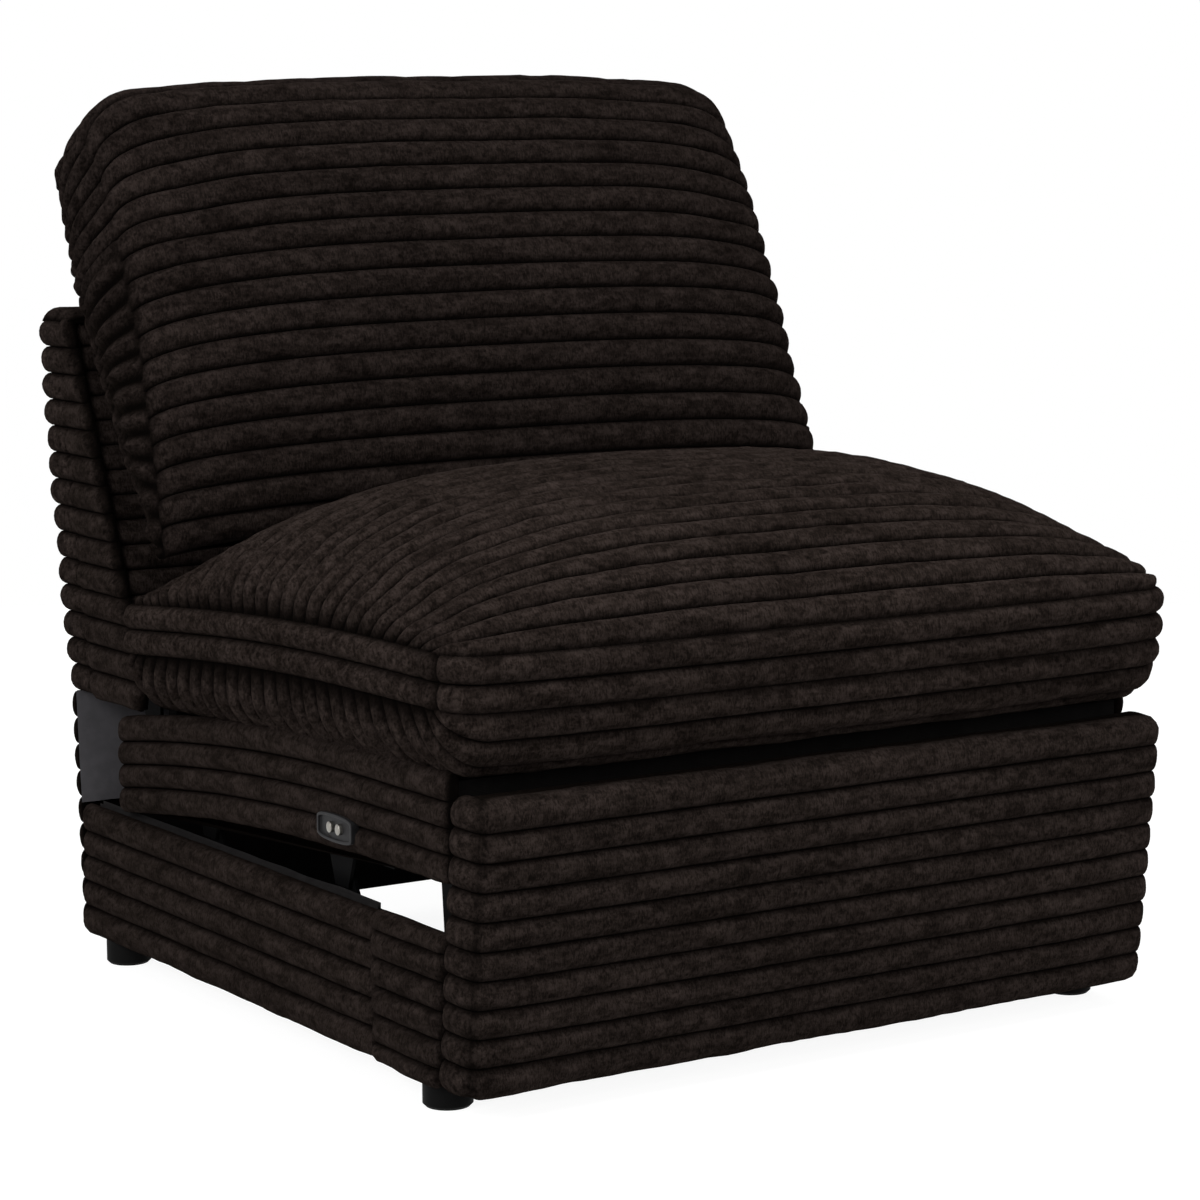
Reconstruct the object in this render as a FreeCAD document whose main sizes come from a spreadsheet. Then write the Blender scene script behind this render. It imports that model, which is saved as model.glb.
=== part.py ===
"""Armless power recliner with a channelled plush cover, on a linked steel base.

The chair faces -Y and stands on its four feet at z = 0. The sitter's right hand side is -X.
Heights are measured from the floor. Distances called "back" are measured rearwards from the
top edge of the footrest's face, and front_y puts that edge in the frame of the part.
"""
import FreeCAD, Part
import math
import os
import Sketcher
from types import SimpleNamespace
from FreeCAD import Placement, Rotation, Vector

doc = FreeCAD.newDocument("armless_recliner")

# Driving sizes: millimetres and degrees
SIZES = [
    ("front_y", -493.0, "y of the footrest's face, so that the chair is centred on its origin"),
    ("body_half", 440.0, "half width of the upholstered body, without the swell of its ribs"),
    ("wood", 20.0, "thickness of the wooden boards"),
    ("pad", 13.0, "padding on the wooden boards"),
    ("rib_pitch", 30.0, "width of one sewn channel"),
    ("rib_swell", 5.0, "height of one channel above its seams"),
    ("soft_gap", 3.0, "gap between two upholstered parts that move apart"),
    ("seat_touch", 0.3, "gap where a soft part rests on a hard one"),
    ("foot_radius", 26.0, "radius of a foot"),
    ("foot_height", 32.0, "height of a foot, and of the body above the floor"),
    ("foot_inset", 28.0, "from the body's side to the middle of a foot"),
    ("foot_front_back", 118.0, "distance back of the front feet"),
    ("foot_rear_back", 850.0, "distance back of the rear feet"),
    ("base_height", 150.0, "height of the base's sides"),
    ("base_rear_back", 903.0, "distance back of the base's rear end"),
    ("seam_back", 215.0, "distance back of the seam between corner and side"),
    ("front_rail_back", 150.0, "distance back of the base's front rail"),
    ("front_rail_height", 58.0, "height of the base's front rail"),
    ("steel", 4.0, "thickness of the mechanism's plates and links"),
    ("layer_gap", 1.0, "gap between two layers of the mechanism"),
    ("plate_gap", 5.0, "between the base's side boards and the outer face of the seat plates"),
    ("plate_face", "=body_half - pad - wood - plate_gap", "outer face of the seat plate, from the middle"),
    ("run_fit", 0.05, "radial clearance of a pin in its hole"),
    ("link_end", 14.0, "end radius of a swing link"),
    ("link_pin", 6.0, "radius of a swing link's pin"),
    ("swing_length", 130.0, "pivot distance of a swing link"),
    ("swing_angle", 25.0, "lean of a swing link, rearwards at rest and forwards when reclined"),
    ("swing_front_back", 295.0, "distance back of the front lower pivots"),
    ("swing_rear_back", 600.0, "distance back of the rear lower pivots"),
    ("swing_floor", 78.0, "height of the lower pivots"),
    ("crank_arm", 45.0, "from a rear swing link's seat pivot to its rod pivot"),
    ("back_turn", 28.0, "angle through which the back reclines"),
    ("hinge_back", 800.0, "distance back of the back's hinge"),
    ("hinge_floor", 288.0, "height of the back's hinge"),
    ("hinge_end", 18.0, "radius of the plates round the back's hinge"),
    ("tongs_length", 200.0, "pivot distance of a footrest link"),
    ("tongs_step", 16.0, "forward step of a folded footrest link"),
    ("tongs_end", 10.0, "end radius of a footrest link"),
    ("tongs_pin", 4.0, "radius of a footrest link's pin"),
    ("slot_play", 1.03, "room in front of the rod's pin in its slot, for its slightly bowed path"),
    ("tongs_back", 118.0, "distance back of the footrest's rear pivots"),
    ("tongs_floor", 308.0, "height of the footrest's upper pivots"),
    ("tongs_open", 78.0, "angle through which the footrest links open"),
    ("arm_length", 70.0, "from the footrest's pivot to its torque tube"),
    ("fork_half", 8.0, "half height of the push arm between drive block and torque tube"),
    ("fork_wall", 9.0, "width of steel round the fork's slot"),
    ("fork_play", 1.45, "room on each side of the torque tube in the fork, for its arc"),
    ("tube_radius", 11.0, "outer radius of the torque tube, and half width of the square cross tubes"),
    ("tube_wall", 1.6, "wall of those tubes"),
    ("seat_front_back", 66.0, "distance back of the seat box's front end"),
    ("seat_level_back", 200.0, "distance back at which the seat rails start to drop"),
    ("seat_rear_back", 804.0, "distance back of the seat box's rear end"),
    ("seat_rail_low", 241.0, "height of the seat rails' lower edge at the front"),
    ("seat_rail_tall", 108.0, "height of the seat rails"),
    ("seat_drop", 49.0, "drop of the seat rails from front to rear"),
    ("deck_board", 20.0, "thickness of the seat's front board"),
    ("deck_depth", 74.0, "depth of the seat's front board"),
    ("deck_fall", 24.0, "drop of the seat's webbing from its front board to its rear rail"),
    ("web_thick", 2.0, "thickness of the elastic webbing"),
    ("web_wide", 50.0, "width of one webbing strap"),
    ("panel_low", 27.0, "height of the footrest's lower edge"),
    ("panel_tall", 304.0, "height of the footrest"),
    ("panel_tilt", 5.5, "set-back angle of the footrest's lower edge"),
    ("panel_deep", 57.0, "depth of the footrest"),
    ("panel_crown", 14.0, "crown of the footrest's face"),
    ("panel_half", "=body_half + rib_swell", "half width of the footrest"),
    ("panel_board", 12.0, "thickness of the footrest's board"),
    ("cushion_over", 25.0, "how far the seat cushion stands out past the body on each side"),
    ("cushion_half", "=body_half + cushion_over", "half width of the seat cushion"),
    ("cushion_front_back", 24.0, "distance back of the seat cushion's front corners"),
    ("cushion_rear_back", 752.0, "distance back of the seat cushion's rear end"),
    ("cushion_nose", 30.0, "how far the cushion's front bows out in the middle"),
    ("cushion_band", 57.0, "height of the seat cushion's side band"),
    ("cushion_swell", 6.0, "height of the channels on the seat cushion's band"),
    ("dome_ease", 0.35, "share by which a crown's channels crowd towards its ends"),
    ("dome_power", 0.75, "how steep a crown starts, 1 is a plain sine arch"),
    ("dome_rear_power", 1.45, "the same at the seat cushion's rear, under the back cushion"),
    ("belly_fill", 0.3, "how soon the seat cushion's belly drops from its ends, as a power of the fullness"),
    ("belly_power", 0.2, "how steep the belly drops behind the front and before the rear"),
    ("cushion_level", 445.0, "height of the middle of that band at the front"),
    ("cushion_droop", 31.0, "drop of the band at the rear"),
    ("cushion_top", 610.0, "height of the seat cushion's crown"),
    ("pillow_over", 12.0, "how far the back cushion stands out past the body on each side"),
    ("pillow_half", "=body_half + pillow_over", "half width of the back cushion"),
    ("pillow_tip_back", 645.0, "distance back of the back cushion's lower edge"),
    ("pillow_tip_floor", 500.0, "height of the back cushion's lower edge at the sides"),
    ("pillow_tip_rise", 24.0, "how much higher that edge is in the middle"),
    ("pillow_run", 196.0, "run of the back cushion's face from lower to upper edge"),
    ("pillow_rise", 509.0, "rise of the back cushion's face at the sides"),
    ("pillow_bulge", 27.0, "bulge of the back cushion's face at the sides"),
    ("pillow_arch", 26.0, "how much higher the top is in the middle"),
    ("pillow_crown", 34.0, "how much more the face bulges in the middle"),
    ("pillow_cap", 62.0, "depth of the back cushion's top"),
    ("back_low", 343.0, "height of the back frame's front edge"),
    ("back_low_back", 748.0, "distance back of that edge"),
    ("back_rake", 23.2, "rake of the back frame's face from upright"),
    ("back_top", 752.0, "height of the back frame's top"),
    ("wing_low", 314.0, "height of the back's lower edge above the seat rails"),
    ("rear_low", 318.0, "height of the back frame's lower rear edge"),
    ("rear_low_back", 933.0, "distance back of that edge"),
    ("rear_top_back", 998.0, "distance back of the back frame's upper rear edge"),
    ("rear_bow", 12.0, "bow of the back frame's rear face"),
    ("cap_pad", 1.5, "padding under the channels on top of the back"),
    ("cap_start", 4.0, "gap between the back cushion and that padding"),
    ("back_front_pad", 12.0, "padding on the front of the back frame"),
    ("back_rear_pad", 13.0, "padding on the rear of the back frame"),
    ("flap_thick", 9.0, "thickness of the hanging rear flap"),
    ("flap_low_back", 914.0, "distance back of the flap's lower edge"),
    ("lining", 1.5, "thickness of the flap's lining"),
    ("switch_back", 277.0, "distance back of the switch plate's middle"),
    ("switch_floor", 262.0, "height of the switch plate's middle"),
    ("switch_long", 74.0, "length of the switch plate"),
    ("switch_tall", 28.0, "height of the switch plate"),
    ("switch_thick", 5.0, "thickness of the switch plate"),
    ("button_radius", 5.2, "radius of a push button"),
    ("button_space", 18.0, "distance between the two buttons"),
    ("button_proud", 2.4, "how far a button stands out of its plate"),
    ("button_travel", 1.5, "how far a button is pressed"),
    ("button_gap", 0.3, "gap round a button"),
    ("motor_radius", 32.0, "radius of the motor"),
    ("motor_long", 92.0, "length of the motor"),
    ("track_radius", 13.0, "half width of the actuator's track"),
    ("track_front_back", 245.0, "distance back of the track's front end"),
    ("track_rear_back", 592.0, "distance back of the track's rear end"),
    ("screw_radius", 5.0, "radius of the lead screw"),
    ("inlet_half", 7.0, "half width of the power inlet behind the gearbox"),
    ("inlet_long", 18.0, "length of that inlet"),
]

sheet = doc.addObject("Spreadsheet::Sheet", "sizes")
for row, (alias, value, note) in enumerate(SIZES, start=1):
    sheet.set("A%d" % row, note)
    sheet.set("B%d" % row, str(value))
    sheet.setAlias("B%d" % row, alias)
doc.recompute()
S = SimpleNamespace(**{alias: float(sheet.get(alias)) for alias, value, note in SIZES})

X_AXIS = Vector(1, 0, 0)
PITCH = S.steel + S.layer_gap
NODES = []


# Helpers: places, lines and ribbed outlines in the side view

def at(back, floor, x=0.0):
    """The point that far behind the footrest's face and that high above the floor."""
    return Vector(x, back + S.front_y, floor)


def turned(point, centre, degrees):
    """The point turned about the centre, in the side view, from +Y towards +Z."""
    return centre + Rotation(X_AXIS, degrees).multVec(point - centre)


def layer(index):
    """Inner face of a layer of the right-hand mechanism: 0 is the seat plate, then inwards."""
    return S.plate_face - S.steel - index * PITCH


def line(first, last):
    return Part.LineSegment(first, last).toShape()


def arc(first, middle, last):
    return Part.Arc(first, middle, last).toShape()


def spaced(curve, count):
    """count + 1 points at even steps along an edge."""
    return curve.discretize(Number=count + 1)


def ribs(points, swell, outward):
    """One round channel between each two neighbouring points, swelling outward."""
    edges = []
    for first, last in zip(points, points[1:]):
        run = last - first
        normal = run.cross(X_AXIS).normalize()
        if normal.dot(outward) < 0:
            normal = normal * -1
        edges.append(arc(first, (first + last) * 0.5 + normal * swell, last))
    return edges


def folds(points, swell, outward):
    """The same channels in three straight chords each, for the cushions' lofts."""
    edges = []
    for channel in ribs(points, swell, outward):
        edges += chain(channel.discretize(Number=4))
    return edges


def chain(points):
    """Straight edges through the points."""
    return [line(first, last) for first, last in zip(points, points[1:])]


def outline(edges):
    return Part.Wire(Part.__sortEdges__(edges))


def slab(edges, x_low, x_high):
    """A closed outline in the side view, made solid from one x to another."""
    face = Part.Face(outline(edges))
    face.translate(X_AXIS * x_low)
    return face.extrude(X_AXIS * (x_high - x_low))


def mirrored(shape):
    return shape.mirror(Vector(0, 0, 0), X_AXIS)


def rib_count(length):
    return max(2, round(length / S.rib_pitch))


# Helpers: the document's objects

def keep(label, shape):
    """A sub-part whose form is worked out in code."""
    feature = doc.addObject("Part::Feature", label)
    feature.Label = label
    feature.Shape = shape
    NODES.append(feature)
    return feature


def keep_object(label, feature):
    feature.Label = label
    NODES.append(feature)
    return feature


def mirror_of(right):
    """The mirror image, on the chair's other side, of an object of the document."""
    left = doc.addObject("Part::Mirroring", right.Name + "_mirror")
    left.Source = right
    left.Normal = X_AXIS
    return left


def both_sides(label, right):
    """The right-hand sub-part and its mirror image on the left, as two sub-parts."""
    keep_object(label + "_right", right)
    keep_object(label + "_left", mirror_of(right))


def pair(label, right):
    """The right-hand piece and its mirror image, which move as one, as two solids of a sub-part."""
    keep_object(label, group(label + "_pair", [right, mirror_of(right)]))


def box(name, lengths, corner):
    """A box with its three lengths and its low corner as expressions of the sheet's sizes."""
    feature = doc.addObject("Part::Box", name)
    for prop, words in zip(("Length", "Width", "Height"), lengths):
        feature.setExpression(prop, words)
    for axis, words in zip("xyz", corner):
        feature.setExpression("Placement.Base." + axis, words)
    return feature


def tube_along_x(name, radius, length, place):
    """A round bar along x, centred on x = 0, with its radius and length as expressions."""
    feature = doc.addObject("Part::Cylinder", name)
    feature.setExpression("Radius", radius)
    feature.setExpression("Height", length)
    feature.Placement = Placement(place, Rotation(Vector(0, 1, 0), 90))
    feature.setExpression("Placement.Base.x", "-(%s) / 2" % length)
    return feature


def group(name, members):
    compound = doc.addObject("Part::Compound", name)
    compound.Links = members
    return compound


def new_sketch(body, name, role):
    sketch = body.newObject("Sketcher::SketchObject", name)
    plane = [part for part in body.Origin.OriginFeatures if part.Role == role][0]
    sketch.AttachmentSupport = (plane, [""])
    sketch.MapMode = "FlatFace"
    return sketch


def flat(point):
    """A side-view point in the coordinates of a sketch on the YZ plane."""
    return Vector(point.y, point.z, 0)


def polygon(points):
    corners = [flat(point) for point in points]
    return [Part.LineSegment(a, b) for a, b in zip(corners, corners[1:] + corners[:1])]


def bar(first, last, radius):
    """The outline of a link with round ends about its two pivots."""
    a, b = flat(first), flat(last)
    along = (b - a).normalize()
    side = Vector(-along.y, along.x, 0)
    return [
        Part.LineSegment(a + side * radius, b + side * radius),
        Part.Arc(b + side * radius, b + along * radius, b - side * radius),
        Part.LineSegment(b - side * radius, a - side * radius),
        Part.Arc(a - side * radius, a - along * radius, a + side * radius),
    ]


def round_cell(sketch, point, radius, words):
    """A circle whose radius follows the sheet."""
    index = sketch.addGeometry(Part.Circle(flat(point), Vector(0, 0, 1), radius), False)
    number = sketch.addConstraint(Sketcher.Constraint("Radius", index, radius))
    sketch.setExpression("Constraints[%d]" % number, words)


def pressed_plate(label, edges, holes, inner_x, thick="sizes.steel"):
    """A flat plate in the side view. Its inner face is at inner_x, and holes are (point, kind)."""
    body = doc.addObject("PartDesign::Body", label)
    sketch = new_sketch(body, label + "_outline", "YZ_Plane")
    for edge in edges:
        sketch.addGeometry(edge, False)
    for point, kind in holes:
        words = "sizes.%s + sizes.run_fit" % kind
        round_cell(sketch, point, getattr(S, kind) + S.run_fit, words)
    pad = body.newObject("PartDesign::Pad", label + "_pad")
    pad.Profile = sketch
    pad.setExpression("Length", thick)
    body.Placement.Base = Vector(inner_x, 0, 0)
    return body


def stud(body, name, point, kind, layers):
    """A pin on a link, ending flush with the layer that many steps outboard, or inboard if below 0."""
    sketch = new_sketch(body, name + "_circle", "YZ_Plane")
    round_cell(sketch, point, getattr(S, kind), "sizes." + kind)
    pad = body.newObject("PartDesign::Pad", name)
    pad.Profile = sketch
    step = "%d * (sizes.steel + sizes.layer_gap)" % abs(layers)
    if layers > 0:
        pad.setExpression("Length", "sizes.steel + " + step)
    else:
        pad.setExpression("Length", step)
        pad.Reversed = True


def cut_slot(body, name, first, last, half):
    """A slot with round ends and that half width through the plate."""
    sketch = new_sketch(body, name + "_outline", "YZ_Plane")
    for edge in bar(first, last, half):
        sketch.addGeometry(edge, False)
    pocket = body.newObject("PartDesign::Pocket", name)
    pocket.Profile = sketch
    pocket.Type = 1
    pocket.Midplane = True


# Base: two padded side boards on feet, joined by a front and a rear rail

PANEL_LEAN = math.tan(math.radians(S.panel_tilt))
BASE_TOP = S.foot_height + S.base_height
PANEL_TOP = S.panel_low + S.panel_tall
RAIL_INNER = "(sizes.body_half - sizes.pad - sizes.wood)"
BOARD_LOW = "(sizes.foot_height + sizes.pad / 2)"
BOARD_TALL = "(sizes.base_height - sizes.pad)"


def behind_panel(floor):
    """Distance back of the footrest's rear face at a height."""
    return S.panel_deep + (PANEL_TOP - floor) * PANEL_LEAN


def ribbed_side(low, high, shift):
    """Section of a padded side: flat on its board, channelled outside, in the plane y = 0."""
    board = S.body_half - S.pad
    count = rib_count(high - low)
    heights = [low + (high - low) * (k + shift) / count for k in range(count)]
    heights = [low] + [z for z in heights if z > low + 1] + [high]
    crest = S.body_half
    edges = []
    for z_low, z_high in zip(heights, heights[1:]):
        middle = Vector(crest + S.rib_swell, 0, (z_low + z_high) / 2)
        edges.append(arc(Vector(crest, 0, z_low), middle, Vector(crest, 0, z_high)))
    corners = [Vector(crest, 0, high), Vector(board, 0, high), Vector(board, 0, low), Vector(crest, 0, low)]
    return Part.Face(outline(edges + chain(corners)))


def along_chair(face, start, end):
    """A section made solid from one distance back to another."""
    placed = face.copy()
    placed.translate(Vector(0, start + S.front_y, 0))
    return placed.extrude(Vector(0, end - start, 0))


def base_cover():
    return along_chair(ribbed_side(S.foot_height, BASE_TOP, 0.0), S.seam_back, S.base_rear_back)


def corner_wrap():
    """The padded front corner: its front edge leans with the footrest and stays clear of it."""
    section = ribbed_side(S.foot_height, BASE_TOP, 0.5)
    solid = along_chair(section, 0.0, S.seam_back - S.seat_touch)
    gap = S.soft_gap
    front = [
        at(-S.panel_deep, -S.panel_low),
        at(behind_panel(-S.panel_low) + gap, -S.panel_low),
        at(behind_panel(PANEL_TOP) + gap, PANEL_TOP),
        at(-S.panel_deep, PANEL_TOP),
    ]
    wide = S.body_half + 4 * S.rib_swell
    return solid.cut(slab(chain(front + front[:1]), 0.0, wide))


BOARD_FRONT = behind_panel(S.foot_height) + S.soft_gap + S.pad / 2

side_board = box(
    "base_side_board",
    ("sizes.wood", "sizes.base_rear_back - %f" % BOARD_FRONT, BOARD_TALL),
    (RAIL_INNER, "sizes.front_y + %f" % BOARD_FRONT, BOARD_LOW),
)
both_sides("base_side", side_board)
for label, make in (("base_cover", base_cover), ("corner_wrap", corner_wrap)):
    right_shape = make()
    keep(label + "_right", right_shape)
    keep(label + "_left", mirrored(right_shape))

front_rail = box(
    "base_front_rail",
    ("2 * " + RAIL_INNER, "sizes.wood", "sizes.front_rail_height"),
    ("-" + RAIL_INNER, "sizes.front_y + sizes.front_rail_back", BOARD_LOW),
)
keep_object("base_front_rail", front_rail)
rear_rail = box(
    "base_rear_rail",
    ("2 * " + RAIL_INNER, "sizes.wood", BOARD_TALL),
    ("-" + RAIL_INNER, "sizes.front_y + sizes.base_rear_back - sizes.wood", BOARD_LOW),
)
keep_object("base_rear_rail", rear_rail)


def foot(name, sign, back_alias):
    """A round foot with a broken lower edge, under the side board and its padding."""
    body = doc.addObject("PartDesign::Body", name)
    sketch = new_sketch(body, name + "_half", "XZ_Plane")
    edge = S.foot_radius / 8
    corners = [
        Vector(0, 0, 0),
        Vector(S.foot_radius - edge, 0, 0),
        Vector(S.foot_radius, edge, 0),
        Vector(S.foot_radius, S.foot_height, 0),
        Vector(0, S.foot_height, 0),
    ]
    for first, last in zip(corners, corners[1:] + corners[:1]):
        sketch.addGeometry(Part.LineSegment(first, last), False)
    spin = body.newObject("PartDesign::Revolution", name + "_turned")
    spin.Profile = sketch
    spin.ReferenceAxis = (sketch, ["V_Axis"])
    spin.Angle = 360
    body.setExpression("Placement.Base.x", "%d * (sizes.body_half - sizes.foot_inset)" % sign)
    body.setExpression("Placement.Base.y", "sizes.front_y + sizes." + back_alias)
    return body


feet = [
    foot("foot_%d%s" % (sign + 1, back_alias[5]), sign, back_alias)
    for sign in (-1, 1)
    for back_alias in ("foot_front_back", "foot_rear_back")
]
keep_object("feet", group("feet_group", feet))

# Mechanism: pivots in the side view

SWING_RISE = S.swing_length * math.cos(math.radians(S.swing_angle))
SWING_RUN = S.swing_length * math.sin(math.radians(S.swing_angle))
B1 = at(S.swing_front_back, S.swing_floor)
B2 = at(S.swing_rear_back, S.swing_floor)
S1 = B1 + Vector(0, SWING_RUN, SWING_RISE)
S2 = B2 + Vector(0, SWING_RUN, SWING_RISE)
CRANK = S2 + (S2 - B2).normalize() * S.crank_arm
HINGE = at(S.hinge_back, S.hinge_floor)

# The rod's two arms share one horizontal travel, so the longer arm turns through the smaller angle
SWING_SINE = math.sin(math.radians(S.swing_angle))
BACK_SINE = math.sin(math.radians(S.back_turn / 2))
BACK_ARM = S.crank_arm * SWING_SINE / BACK_SINE
ROD_EYE = turned(HINGE - Vector(0, 0, BACK_ARM), HINGE, S.back_turn / 2)
SLOT_REACH = (S.crank_arm * (1 - math.cos(math.radians(S.swing_angle)))
              + BACK_ARM * (1 - math.cos(math.radians(S.back_turn / 2))))

FOLD = math.degrees(math.acos(S.tongs_step / S.tongs_length))
DROP = S.tongs_length * math.sin(math.radians(FOLD))
P1 = at(S.tongs_back, S.tongs_floor)
Q1 = P1 - Vector(0, 0, DROP)
Q1_OPEN = P1 - Vector(0, 0, S.tongs_length * math.sin(math.radians(FOLD - S.tongs_open)))
B = P1 - Vector(0, S.tongs_step, 0)
A = Q1 - Vector(0, S.tongs_step, 0)
CROSS = (P1 + A) * 0.5
MID = CROSS - Vector(0, S.tongs_step, 0)
ARM = turned(P1 - Vector(0, 0, S.arm_length), P1, S.tongs_open / 2)
ARM_DIP = S.arm_length * (1 - math.cos(math.radians(S.tongs_open / 2)))


# Base angle: an L of steel along each side, which carries the lower pivots

def base_angle():
    body_name = "base_angle"
    low = S.foot_height + S.pad / 2 + 2 * S.wood / 2
    high = S.swing_floor + 2 * S.link_end
    start = S.front_rail_back + S.wood + S.soft_gap
    end = S.base_rear_back - 2 * S.wood
    edges = polygon([at(start, low), at(end, low), at(end, high), at(start, high)])
    holes = [(B1, "link_pin"), (B2, "link_pin")]
    return pressed_plate(body_name, edges, holes, layer(2)), start, end, low


angle_web, angle_start, angle_end, angle_low = base_angle()
flange = new_sketch(angle_web, "base_angle_flange", "YZ_Plane")
for edge in polygon([
    at(angle_start, angle_low - S.steel),
    at(angle_end, angle_low - S.steel),
    at(angle_end, angle_low),
    at(angle_start, angle_low),
]):
    flange.addGeometry(edge, False)
flange_pad = angle_web.newObject("PartDesign::Pad", "base_angle_flange_pad")
flange_pad.Profile = flange
flange_pad.setExpression("Length", "sizes.body_half - sizes.pad - sizes.wood - %f" % layer(2))
pair("base_angles", angle_web)

# Swing links

front_link = pressed_plate("front_swing_link", bar(B1, S1, S.link_end), [], layer(1))
stud(front_link, "front_link_foot", B1, "link_pin", -1)
stud(front_link, "front_link_head", S1, "link_pin", 1)
pair("front_swing_links", front_link)

rear_link = pressed_plate(
    "rear_swing_link", bar(B2, CRANK, S.link_end), [(CRANK, "tongs_pin")], layer(1)
)
stud(rear_link, "rear_link_foot", B2, "link_pin", -1)
stud(rear_link, "rear_link_head", S2, "link_pin", 1)
pair("rear_swing_links", rear_link)

# Push rods from the rear swing links to the back's brackets

push_rod = pressed_plate("push_rod", bar(CRANK, ROD_EYE, S.tongs_end), [], layer(2))
stud(push_rod, "push_rod_front", CRANK, "tongs_pin", 1)
stud(push_rod, "push_rod_rear", ROD_EYE, "tongs_pin", 1)
pair("push_rods", push_rod)

# Seat plate: carries the swing pivots, the back's hinge and the footrest's pivots and slot

PLATE_TOP = S.tongs_floor + S.link_end


def seat_plate():
    half = S.link_end
    nose_low = Q1.z - half
    edges = polygon([
        P1 + Vector(0, -half, PLATE_TOP - P1.z),
        at(S.tongs_back - half, nose_low),
        at(S.tongs_back + half, nose_low),
        at(S.tongs_back + 2 * half, S.seat_rail_low + half),
        S1 + Vector(0, -2 * half, 2 * half),
        S1 + Vector(0, -half, -half),
        S1 + Vector(0, half, -half),
        S1 + Vector(0, 2 * half, 2 * half),
        S2 + Vector(0, -2 * half, 2 * half),
        S2 + Vector(0, -half, -half),
        S2 + Vector(0, half, -half),
        S2 + Vector(0, 2 * half, 2 * half),
        HINGE + Vector(0, -S.hinge_end, -S.hinge_end),
        HINGE + Vector(0, S.hinge_end, -S.hinge_end),
        HINGE + Vector(0, S.hinge_end, S.hinge_end / 2),
        HINGE + Vector(0, -S.hinge_end, S.hinge_end / 2),
        at(S.seat_level_back + S.tongs_length, PLATE_TOP),
    ])
    holes = [
        (S1, "link_pin"),
        (S2, "link_pin"),
        (HINGE, "link_pin"),
        (P1, "tongs_pin"),
    ]
    return pressed_plate("seat_plate", edges, holes, layer(0))


plate = seat_plate()
slot_end = Vector(0, 0, S.layer_gap)
cut_slot(plate, "seat_plate_slot", Q1 - slot_end, Q1_OPEN + slot_end, S.tongs_pin + S.run_fit)
pair("seat_plates", plate)

# Footrest links: crossed pairs that fold flat behind the footrest

long_edges = bar(P1, A, S.tongs_end)
long_link = pressed_plate("long_link", long_edges, [], layer(2))
arm_sketch = new_sketch(long_link, "long_link_arm_outline", "YZ_Plane")
for edge in bar(P1, ARM, S.tongs_end):
    arm_sketch.addGeometry(edge, False)
arm_pad = long_link.newObject("PartDesign::Pad", "long_link_arm")
arm_pad.Profile = arm_sketch
arm_pad.setExpression("Length", "sizes.steel")
stud(long_link, "long_link_seat_pin", P1, "tongs_pin", 2)
stud(long_link, "long_link_cross_pin", CROSS, "tongs_pin", 1)
stud(long_link, "long_link_low_pin", A, "tongs_pin", -1)
pair("long_links", long_link)

cross_link = pressed_plate("cross_link", bar(Q1, B, S.tongs_end), [(CROSS, "tongs_pin")], layer(1))
stud(cross_link, "cross_link_slot_pin", Q1, "tongs_pin", 1)
stud(cross_link, "cross_link_top_pin", B, "tongs_pin", -3)
pair("cross_links", cross_link)

short_link = pressed_plate("short_link", bar(A, MID, S.tongs_end), [(A, "tongs_pin")], layer(3))
stud(short_link, "short_link_pin", MID, "tongs_pin", -1)
pair("short_links", short_link)

torque_tube = doc.addObject("Part::Cut", "torque_tube")
torque_length = "2 * (%f)" % layer(2)
torque_tube.Base = tube_along_x("torque_bar", "sizes.tube_radius", torque_length, ARM)
torque_tube.Tool = tube_along_x("torque_bore", "sizes.tube_radius - sizes.tube_wall", torque_length, ARM)
keep_object("torque_tube", torque_tube)

# Footrest bracket: follows the long link, and a bent flange holds the footrest's board

def on_panel(depth, height):
    """A point that deep behind the leaning face and that far below the footrest's top edge."""
    lean = math.radians(S.panel_tilt)
    return at(0, PANEL_TOP) + Vector(
        0,
        depth * math.cos(lean) + height * math.sin(lean),
        depth * math.sin(lean) - height * math.cos(lean),
    )


PANEL_FALL = S.panel_tall / math.cos(math.radians(S.panel_tilt))


def footrest_bracket():
    back = S.panel_deep
    upper = PANEL_TOP - P1.z + S.tongs_end
    lower = PANEL_FALL * 0.6
    edges = polygon([
        B + Vector(0, S.tongs_end, -S.tongs_end),
        B + Vector(0, S.tongs_end, S.tongs_end),
        B + Vector(0, -S.tongs_end, S.tongs_end),
        on_panel(back, upper),
        on_panel(back, lower),
        on_panel(back + S.tongs_end, lower),
        MID + Vector(0, S.tongs_end, -S.tongs_end),
        MID + Vector(0, S.tongs_end, S.tongs_end),
    ])
    holes = [(B, "tongs_pin"), (MID, "tongs_pin")]
    body = pressed_plate("footrest_bracket", edges, holes, layer(4))
    sketch = new_sketch(body, "footrest_bracket_flange", "YZ_Plane")
    for edge in polygon([
        on_panel(back, upper),
        on_panel(back, lower),
        on_panel(back + S.steel, lower),
        on_panel(back + S.steel, upper),
    ]):
        sketch.addGeometry(edge, False)
    pad = body.newObject("PartDesign::Pad", "footrest_bracket_flange_pad")
    pad.Profile = sketch
    pad.Reversed = True
    pad.setExpression("Length", "2 * sizes.wood")
    return body


pair("footrest_brackets", footrest_bracket())

# Footrest: a board in a padded cover with level channels

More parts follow.
